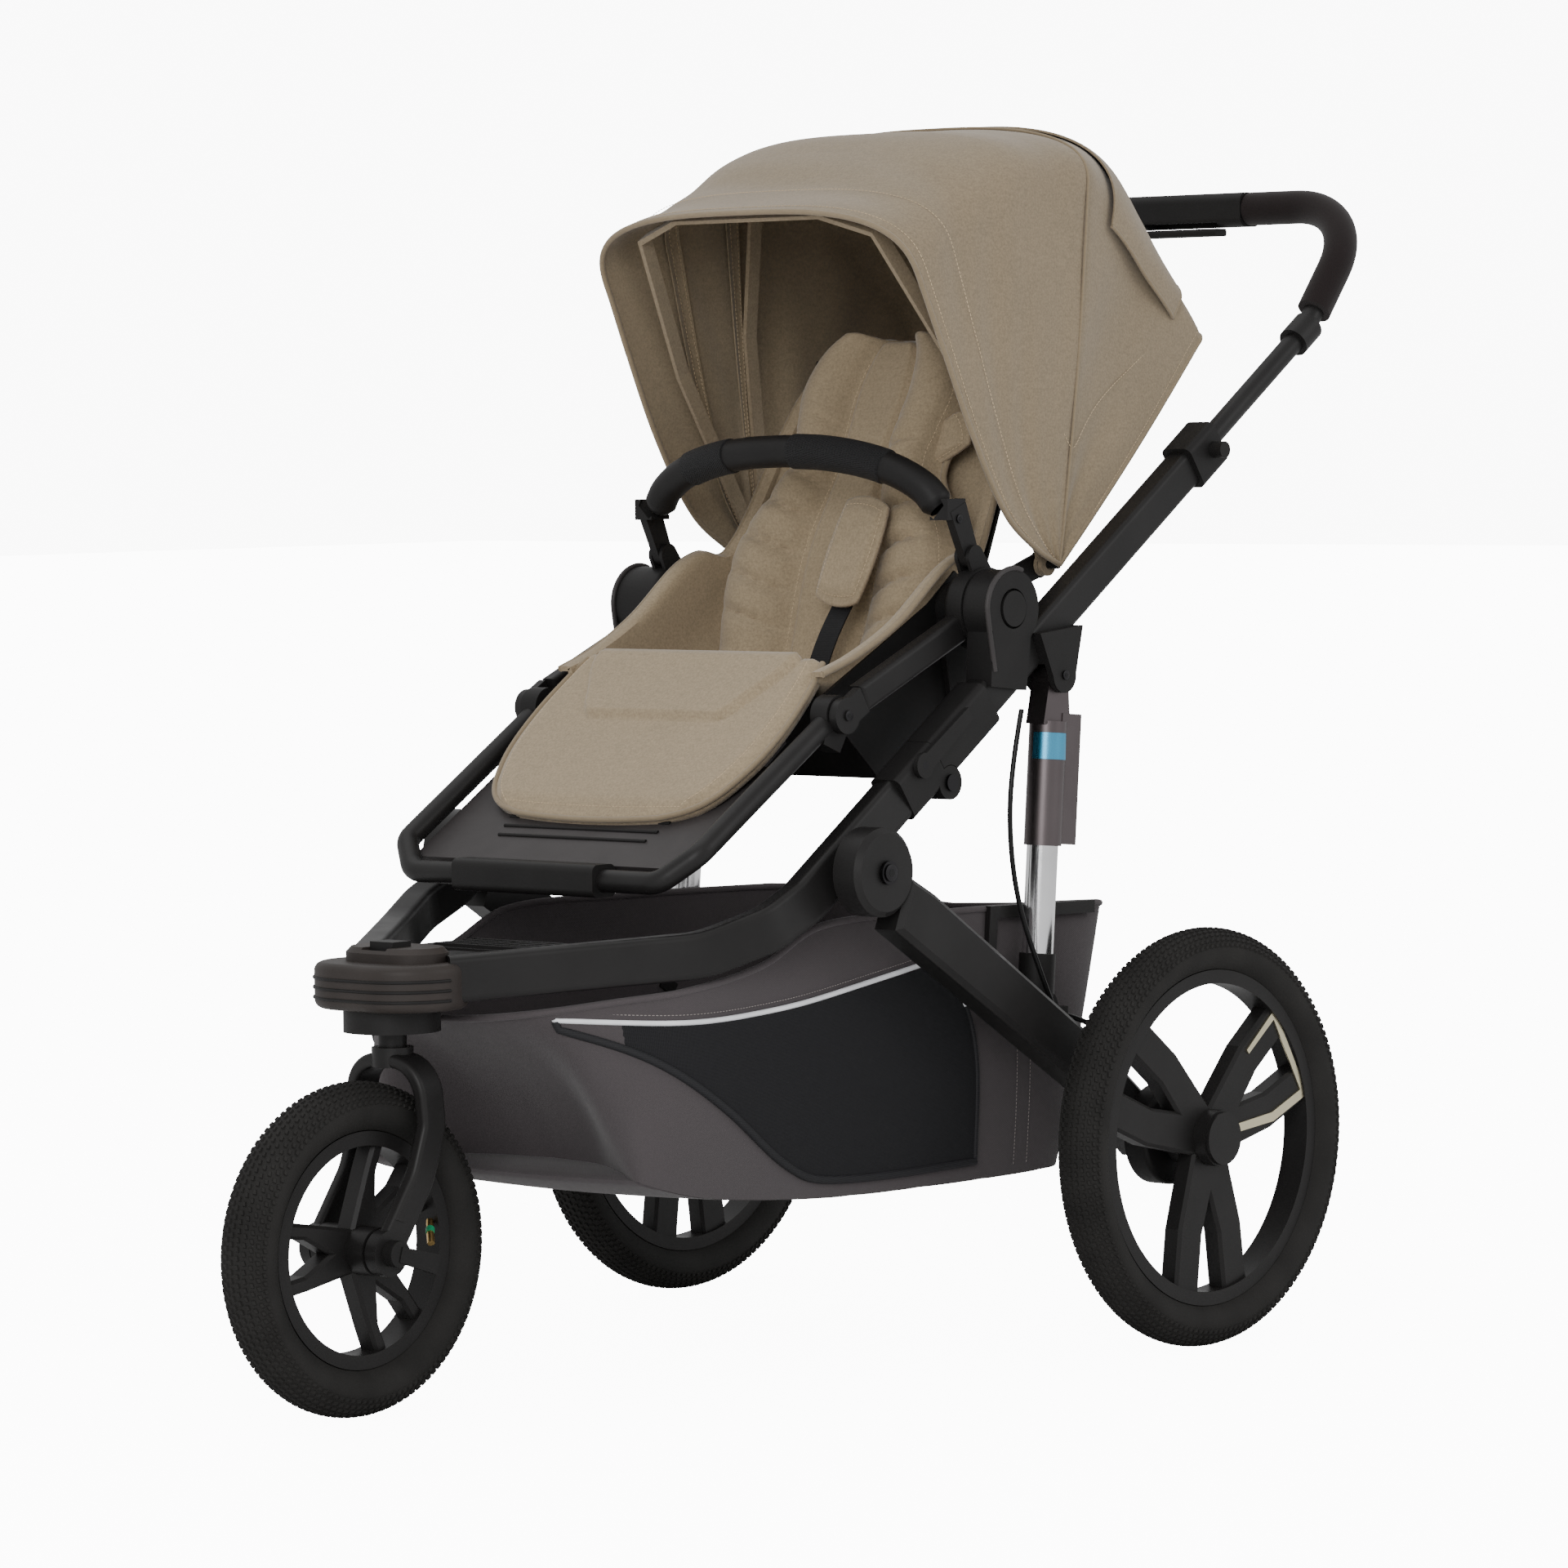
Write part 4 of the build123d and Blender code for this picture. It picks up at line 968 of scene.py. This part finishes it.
def closed_pad(name, nu, nv, top, bottom):
    """Two faces of cloth sewn together round their edge."""
    upper = sheet(name, nu, nv, top)
    lower = sheet(name + "_back", nu, nv, bottom)
    only(lower)
    lower.data.flip_normals()
    pad = join(name, [upper, lower])
    only(pad)
    bpy.ops.object.mode_set(mode="EDIT")
    bpy.ops.mesh.select_all(action="DESELECT")
    bpy.ops.mesh.select_mode(type="EDGE")
    bpy.ops.mesh.select_non_manifold()
    bpy.ops.mesh.bridge_edge_loops()
    bpy.ops.mesh.select_all(action="SELECT")
    bpy.ops.mesh.normals_make_consistent(inside=False)
    bpy.ops.object.mode_set(mode="OBJECT")
    only(pad)
    bpy.ops.object.shade_smooth()
    return pad


class STROLLER_OT_seat(bpy.types.Operator):
    """Build the liner, the padded insert, the shoulder pads and the harness"""

    bl_idname = "stroller.seat"
    bl_label = "Seat soft goods"

    def execute(self, context):
        tub = sheet("seat_liner", 80, 90, tub_point, thick=0.005)
        finish(tub, "seat_cloth_painted_lighter", "seat")
        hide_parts("seat_pad")
        rims = [[tub_point(side, i / 70) for i in range(71)] for side in (0.0, 1.0)]
        rims = [pipe("liner_piping", line, 3.4) for line in rims]
        hems = [[tub_point(f, i / 110) for i in range(6, 108)] for f in (0.07, 0.93)]
        thread = stitches("seat_liner_stitches", hems,
                          lambda spot: Vector((-spot.x, -0.1, 0.2)).normalized())
        finish(thread, "thread", "seat")
        finish(join("seat_liner_piping", rims), "cloth_edge", "seat")
        insert = closed_pad("seat_insert", 70, 130, insert_point, lambda u, v: insert_point(u, v, True))
        finish(insert, "seat_cloth_painted_lighter", "seat")
        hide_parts("back_pad")
        self.insert_trim()
        self.shoulder_pads()
        return {"FINISHED"}

    def insert_trim(self):
        binding = pipe("insert_binding", edge_line(insert_point, 90), 3.2)
        finish(binding, "cloth_edge", "seat")
        rows = [[insert_point(f, i / 120) for i in range(4, 118)] for f in (0.055, 0.945)]
        rows += [[insert_point(f, i / 120) for i in range(6, 112)] for f in (0.335, 0.665)]
        thread = stitches("insert_stitches", rows, (0, -0.93, 0.36))
        finish(thread, "thread", "seat")

    def shoulder_pads(self):
        pads = (
            ("shoulder_pad_lower", Vector((50, -166, 760)), 31, 56, 8, -20),
            ("shoulder_pad_upper", Vector((76, -74, 860)), 46, 21, -26, -14),
        )
        for name, centre, half_x, half_z, roll, lean in pads:
            def face(u, v, height):
                x, z = 2 * u - 1, 2 * v - 1
                square = (1 - z * z / 2) ** 0.5, (1 - x * x / 2) ** 0.5
                x1, z1 = x * (0.55 + 0.45 * square[0]), z * (0.55 + 0.45 * square[1])
                rise = smooth((1 - max(abs(x), abs(z))) / 0.34)
                spot = Vector((x1 * half_x, height * (0.25 + 0.75 * rise), z1 * half_z))
                spot.rotate(Matrix.Rotation(radians(roll), 3, "Y"))
                spot.rotate(Matrix.Rotation(radians(lean), 3, "X"))
                return place(*(centre + spot))

            pad = closed_pad(name, 40, 40, lambda u, v: face(u, v, -8.5), lambda u, v: face(u, v, 6.0))
            finish(pad, "seat_cloth_painted_lighter", "seat")
            ring = [(0.08 + 0.84 * t, 0.08) for t in (0, 0.25, 0.5, 0.75)]
            ring += [(0.92, 0.08 + 0.84 * t) for t in (0, 0.25, 0.5, 0.75)]
            ring += [(0.92 - 0.84 * t, 0.92) for t in (0, 0.25, 0.5, 0.75)]
            ring += [(0.08, 0.92 - 0.84 * t) for t in (0, 0.25, 0.5, 0.75, 1)]
            line = [face(u, v, -8.9) for u, v in ring]
            thread = stitches(name + "_stitches", [line], (0, -0.9, 0.3))
            finish(thread, "thread", "seat")
        top, low, half_width = Vector((44, -172, 712)), Vector((26, -196, 640)), 12.5

        def strap(u, v):
            spot = top.lerp(low, v)
            return place(spot.x + (2 * u - 1) * half_width, spot.y - 4 * sin(pi * v), spot.z)

        band = sheet("harness_strap_left", 6, 20, strap, thick=0.0016)
        finish(band, "webbing", "seat")


class STROLLER_OT_calf(bpy.types.Operator):
    """Build the calf rest's pad and its stitching"""

    bl_idname = "stroller.calf"
    bl_label = "Calf pad"

    def execute(self, context):
        pad = closed_pad("calf_cover", 90, 90, calf_point, lambda u, v: calf_point(u, v, True))
        finish(pad, "seat_cloth_painted_lighter", "calf_rest")
        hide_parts("calf_pad")
        binding = pipe("calf_binding", edge_line(calf_point, 60, 60), 3.0)
        finish(binding, "cloth_edge", "calf_rest")
        inner = [calf_point(0.045, i / 60) for i in range(58)]
        inner += [calf_point(0.045 + 0.91 * i / 60, 0.945) for i in range(61)]
        inner += [calf_point(0.955, 0.945 - i / 63) for i in range(58)]
        thread = stitches("calf_stitches", [inner], (0, -0.64, 0.77))
        finish(thread, "thread", "calf_rest")
        return {"FINISHED"}


# ---------------------------------------------------------------- basket
# Each column of the wall: how far round, then its top and bottom points (x, y, z).
BASKET_COLUMNS = [
    (0.0, 0, 36, 404, 0, -22, 168), (0.08, 110, 38, 409, 110, -24, 166),
    (0.13, 178, 36, 414, 168, -27, 165), (0.17, 197, 16, 417, 192, -46, 164),
    (0.24, 200, -60, 420, 197, -110, 163), (0.38, 201, -230, 423, 199, -235, 164),
    (0.52, 201, -388, 422, 199, -370, 167), (0.62, 200, -470, 391, 197, -470, 174),
    (0.72, 190, -560, 374, 190, -552, 184), (0.8, 152, -615, 366, 172, -605, 200),
    (0.87, 106, -664, 358, 132, -588, 205), (0.94, 50, -684, 352, 66, -550, 205),
    (1.0, 0, -688, 350, 0, -538, 205),
]


def basket_wall(t, v, lift=0.0):
    """On the tub's outside; t runs from the rear middle to the front middle, v from rim to floor."""
    side = 1.0 if t >= 0 else -1.0
    tx, ty, tz, bx, by, bz = through(BASKET_COLUMNS, abs(t))
    x = tx + (bx - tx) * v
    y = ty + (by - ty) * v
    z = tz + (bz - tz) * v
    flank = smooth((abs(t) - 0.12) / 0.1) * smooth((0.86 - abs(t)) / 0.2)
    x += (6.0 * sin(pi * v) + lift) * flank
    front = smooth((abs(t) - 0.84) / 0.1)
    y += (34.0 * sin(pi * v) ** 0.9) * front - lift * front
    rear = smooth((0.12 - abs(t)) / 0.06)
    y += (5.0 * sin(pi * v) + lift) * rear
    curl = smooth((v - 0.93) / 0.07)
    z += 3.0 * curl
    return place(side * x, y, z)


def wall_at(y, z, lift=1.0):
    """The point of the left wall that lies at a given y and z."""
    low, high = 0.14, 0.86
    for _ in range(26):
        t = (low + high) / 2
        top = through(BASKET_COLUMNS, t)
        share = min(1.0, max(0.0, (top[2] - z) / (top[2] - top[5])))
        here = top[1] + (top[4] - top[1]) * share
        if here > y:
            low = t
        else:
            high = t
    return basket_wall(t, share, lift)


class STROLLER_OT_basket(bpy.types.Operator):
    """Build the storage basket, its windows, tapes and piping"""

    bl_idname = "stroller.basket"
    bl_label = "Basket"

    def execute(self, context):
        wall = sheet("basket_wall", 220, 26, lambda u, v: basket_wall(2 * u - 1, v))
        floor = sheet("basket_floor", 40, 60, self.floor_point)
        tub = join("basket_tub", [wall, floor])
        outward(tub)
        modify(tub, "SOLIDIFY", thickness=0.0018, offset=0.0)
        soften(tub, 60)
        finish(tub, "basket_cloth")
        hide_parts("basket")
        self.hang(tub)
        rim = [basket_wall(-1 + i / 100, 0.0) for i in range(201)]
        band = finish(pipe("basket_rim", rim, 3.4), "basket_band")
        self.hang(band)
        self.windows()
        return {"FINISHED"}

    def hang(self, piece):
        """The tub is slack cloth: it rides on the chassis, with a mesh of its own."""
        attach(piece, "chassis")
        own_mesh(piece)

    def floor_point(self, u, v):
        edge = through(BASKET_COLUMNS, v)
        half, y, z = edge[3], edge[4], edge[5]
        return place((2 * u - 1) * half, y, z + 3.0 - 6.0 * sin(pi * u) * sin(pi * v))

    def windows(self):
        upper = [(0.0, -668.0, 352.0), (0.25, -560.0, 346.0), (0.5, -440.0, 352.0), (0.75, -330.0, 366.0),
                 (1.0, -245.0, 378.0)]
        lower = [(0.0, -668.0, 350.0), (0.2, -600.0, 318.0), (0.4, -520.0, 262.0), (0.6, -440.0, 204.0),
                 (0.78, -370.0, 184.0), (1.0, -176.0, 184.0)]
        rear = [(0.0, -245.0, 378.0), (0.5, -196.0, 338.0), (0.8, -178.0, 280.0), (1.0, -176.0, 184.0)]

        def side_point(u, v, lift):
            top_y, top_z = through(upper, u)
            low_y, low_z = through(lower, u)
            y, z = top_y + (low_y - top_y) * v, top_z + (low_z - top_z) * v
            rear_y, rear_z = through(rear, v)
            pull = smooth((u - 0.6) / 0.4)
            y += (rear_y - y) * pull * (1 if u > 0.999 else pull)
            z += (rear_z - z) * pull * (1 if u > 0.999 else pull)
            return wall_at(y, z, lift)

        net = sheet("basket_window_left", 60, 30, lambda u, v: side_point(u, v, 2.2), thick=0.001)
        tapes = [pipe("tape", [side_point(i / 60, 1.0, 2.0) for i in range(61)], 4.0),
                 pipe("tape", [side_point(1.0, i / 30, 2.0) for i in range(31)], 2.6)]
        tape = join("basket_binding_left", tapes)
        line = [side_point(i / 60, 0.0, 2.4) for i in range(61)]
        line += [side_point(1.0, i / 30, 2.4) for i in range(1, 17)]
        piping = pipe("basket_piping_left", line, 2.5)
        rows = [[wall_at(y, 176 + 8 * i, 1.6) for i in range(24)] for y in (-116.0, -96.0)]
        rows.append([side_point(i / 60, 0.0, 1.8) + Vector((0, 0, 0.007)) for i in range(61)])
        thread = stitches("basket_stitches_left", rows, (1, 0, 0), 3.6, 2.4, 0.35)
        looks = ((net, "mesh_cloth"), (tape, "binding"), (piping, "reflective"), (thread, "basket_thread"))
        for piece, key in looks:
            dress(piece, key)
            twin = mirrored(piece, piece.name.replace("_left", "_right"))
            for each in (piece, twin):
                self.hang(each)


CABLE_R = 0.0025
# The brake cables' routes, from the frame's clip to the leg's clip and on to the drum (x, y, z).
CABLES = (
    ("upper", "struts", 0.295, (
        (246.0, -152.0, 612.0), (247.0, -168.0, 560.0), (247.5, -174.0, 502.0), (249.0, -167.0, 440.0),
        (252.0, -146.0, 382.0), (257.0, -122.0, 328.0))),
    ("lower", "rear_legs", 0.13, (
        (262.0, -113.0, 322.0), (270.0, -94.0, 315.0), (282.0, -74.0, 303.0), (291.0, -51.0, 284.0),
        (293.0, -26.0, 260.0), (293.0, -16.0, 246.0))),
)


class STROLLER_OT_cables(bpy.types.Operator):
    """Build the brake cables as smooth lines along their routes"""

    bl_idname = "stroller.cables"
    bl_label = "Brake cables"

    def execute(self, context):
        for name, body, length, route in CABLES:
            for side, end in ((1, "left"), (-1, "right")):
                curve = bpy.data.curves.new(f"brake_cable_{name}_{end}", "CURVE")
                curve.dimensions = "3D"
                curve.resolution_u = 16
                curve.bevel_depth = CABLE_R
                curve.bevel_resolution = 4
                curve.use_fill_caps = True
                line = curve.splines.new("NURBS")
                line.points.add(len(route) - 1)
                for point, (x, y, z) in zip(line.points, route):
                    point.co = (*place(side * x, y, z), 1.0)
                line.order_u = 3
                line.use_endpoint_u = True
                cable = bpy.data.objects.new(curve.name, curve)
                context.scene.collection.objects.link(cable)
                finish(cable, "cable", body)
                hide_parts(f"brake_cable_{name}")
        return {"FINISHED"}


# Where each tyre's bead lies, its rows of knobs and the knobs in a row.
FRONT_TREAD = (102.5, 11, 116)
REAR_TREAD = (155.5, 11, 150)


class STROLLER_OT_wheels(bpy.types.Operator):
    """Build the three tyres with their tread"""

    bl_idname = "stroller.wheels"
    bl_label = "Tyres"

    def execute(self, context):
        self.valve()
        self.tyre("front", "front_tyre", *FRONT_TREAD, "front_wheel")
        for side in ("left", "right"):
            self.tyre(f"rear_{side}", f"rear_tyre_{side}", *REAR_TREAD, f"rear_wheel_{side}")
        return {"FINISHED"}

    def valve(self):
        """The front inner tube's valve, which leans out between the spokes."""
        ends = [place(7.0, -709.0, 168.0), place(14.0, -716.0, 160.0), place(22.0, -723.0, 150.0)]
        finish(pipe("front_valve", ends, 3.6), "brass", "front_wheel")
        band = [place(12.0, -714.0, 162.0), place(15.5, -717.5, 158.5)]
        finish(pipe("front_valve_ring", band, 4.1), "valve_green", "front_wheel")

    def tyre(self, name, node, bead, rows, count, body):
        low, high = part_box(node)
        x = (low[0] + high[0]) * 500
        y = ((low[1] + high[1]) / 2 - AXLE_Y) * 1000
        radius = (high[2] - low[2]) * 500
        width = (high[0] - low[0]) * 1000
        piece = tyre_mesh(f"{name}_tread_tyre", x, y, radius, bead, width, rows, count)
        finish(piece, "tyre", body)
        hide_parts(node)


BUMPER_ARCH = [
    (0.0, 0.0, -206.0, 857.0), (0.25, 50.0, -205.5, 855.0), (0.5, 98.0, -203.0, 848.0),
    (0.72, 138.0, -199.0, 836.0), (0.88, 166.0, -194.0, 820.0), (1.0, 181.0, -190.0, 802.0),
]


class STROLLER_OT_bumper(bpy.types.Operator):
    """Build the bumper bar's cover and its knurled grips"""

    bl_idname = "stroller.bumper"
    bl_label = "Bumper cover"

    def execute(self, context):
        cover = self.tube("bumper_cover", -1.0, 1.0, 15.6, 120)
        finish(cover, "plastic", "bumper_bar")
        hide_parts("bumper_arch")
        for name, s0, s1 in (("left", 0.05, 0.66), ("right", -0.66, -0.34)):
            sleeve = self.tube(f"bumper_sleeve_{name}", s0, s1, 17.0, 60)
            finish(sleeve, "knurl", "bumper_bar")
        return {"FINISHED"}

    def tube(self, name, s0, s1, radius, steps):
        def shape(u, v):
            s = s0 + (s1 - s0) * v
            spot, ahead = self.arch(s), self.arch(s + 0.004) - self.arch(s - 0.004)
            out = ahead.cross(Vector((0, 1, 0.1))).normalized()
            side = ahead.cross(out).normalized()
            ends = min(1.0, 0.72 + 0.28 * min(v, 1 - v) * steps / 2)
            ring = 2 * pi * u
            return spot + (out * cos(ring) + side * sin(ring)) * radius * ends / 1000
        tube = sheet(name, 36, steps, shape)
        outward(tube)
        soften(tube, 50)
        return tube

    def arch(self, s):
        """The bar's middle line: s runs from one jointed end to the other."""
        x, y, z = through(BUMPER_ARCH, abs(s))
        return place(x if s > 0 else -x, y, z)


def screw(name, at, radius, out):
    """A round screw head facing along X, with a hexagon socket."""
    x, y, z = at
    ring = [(y + radius * cos(2 * pi * i / 28), z + radius * sin(2 * pi * i / 28)) for i in range(28)]
    head = prism(name, ring, x, x + out * 1.6, 0.5)
    hexagon = [(y + radius * 0.48 * cos(pi * i / 3), z + radius * 0.48 * sin(pi * i / 3)) for i in range(6)]
    socket = prism(name + "_socket", hexagon, x + out * 0.4, x + out * 1.75)
    dress(head, "steel")
    dress(socket, "cable")
    return join(name, [head, socket])


class STROLLER_OT_trim(bpy.types.Operator):
    """Build the screws, ribs and small trim on the frame"""

    bl_idname = "stroller.trim"
    bl_label = "Frame trim"

    def execute(self, context):
        for side, end in ((1, "left"), (-1, "right")):
            spots = (
                ("leg_screw", (side * 285.2, -388, 474), 8.0, "chassis"),
                ("calf_screw", (side * 206.5, -354, 614), 5.0, "seat"),
                ("bumper_screw", (side * 201.5, -187, 792), 4.2, "bumper_bar"),
                ("strut_screw", (side * 247.4, -88, 642), 4.5, "upper_frame"),
            )
            for name, at, radius, body in spots:
                piece = screw(f"{name}_{end}", at, radius, side)
                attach(piece, body)
            self.hub_rib(side, end)
        self.foot_ribs()
        self.nose_bands()
        return {"FINISHED"}

    def hub_rib(self, side, end):
        line = [(-156 + 38 * cos(radians(a)), 707 + 38 * sin(radians(a))) for a in range(70, 185, 5)]
        line += [(-194 + 2 * i, 704 - 11 * i) for i in range(1, 6)]
        points = [place(side * 240.6, y, z) for y, z in line]
        rib = pipe(f"hub_rib_{end}", points, 2.6, smooth_line=True)
        finish(rib, "plastic_grey", "upper_frame")

    def foot_ribs(self):
        ribs = []
        for i in range(7):
            f = 0.22 + 0.09 * i
            y, z = -405 - 135 * f, 566 - 86 * f
            half = 118 - 4 * i
            ends = [place(x, y - 1.6, z + 2.5) for x in (-half, half)]
            ribs.append(pipe("rib", ends, 1.8, sides=6))
        finish(join("foot_plate_ribs", ribs), "plastic", "calf_rest")

    def nose_bands(self):
        """Three bands round the nose: a half circle with a straight run in its middle."""
        half_run, radius, swivel = 19, 56.2, -746
        bands = []
        for z in (374.0, 383.0, 392.0):
            line = []
            for i in range(61):
                a = radians(180 + 180 * i / 60)
                shift = half_run * (1 if cos(a) > 0.001 else -1 if cos(a) < -0.001 else 0)
                line.append(place(shift + radius * cos(a), swivel + radius * sin(a), z))
            bands.append(pipe("band", line, 1.4))
        finish(join("nose_bands", bands), "plastic", "chassis")


def color_property(name, description, default):
    return bpy.props.FloatVectorProperty(
        name=name, description=description, subtype="COLOR", size=3, default=default, min=0.0, max=1.0)


class StrollerColors(bpy.types.PropertyGroup):
    """Colours of the cloth, the frame and the basket"""

    cloth: color_property("Cloth", "Heathered canopy and seat cloth", (0.272, 0.213, 0.139))
    frame: color_property("Frame", "Satin paint of the frame", (0.0108, 0.0101, 0.0100))
    basket: color_property("Basket", "Twill of the basket", (0.064, 0.0555, 0.058))


STEPS = (
    STROLLER_OT_stage, STROLLER_OT_cables, STROLLER_OT_finishes, STROLLER_OT_canopy,
    STROLLER_OT_seat, STROLLER_OT_calf, STROLLER_OT_basket, STROLLER_OT_wheels,
    STROLLER_OT_bumper, STROLLER_OT_trim,
)


class STROLLER_PT_panel(bpy.types.Panel):
    """Lists the steps that build the stroller"""

    bl_idname = "STROLLER_PT_panel"
    bl_label = "Jogging stroller"
    bl_space_type = "VIEW_3D"
    bl_region_type = "UI"
    bl_category = "Stroller"

    def draw(self, context):
        column = self.layout.column()
        for key in ("cloth", "frame", "basket"):
            column.prop(context.scene.stroller_colors, key)
        for step in STEPS:
            column.operator(step.bl_idname)


CLASSES = (StrollerColors, *STEPS, STROLLER_PT_panel)


def register():
    for each in CLASSES:
        bpy.utils.register_class(each)
    bpy.types.Scene.stroller_colors = bpy.props.PointerProperty(type=StrollerColors)


def unregister():
    del bpy.types.Scene.stroller_colors
    for each in reversed(CLASSES):
        bpy.utils.unregister_class(each)


def main():
    register()
    for step in STEPS:
        group, name = step.bl_idname.split(".")
        getattr(getattr(bpy.ops, group), name)()


if __name__ == "__main__":
    main()
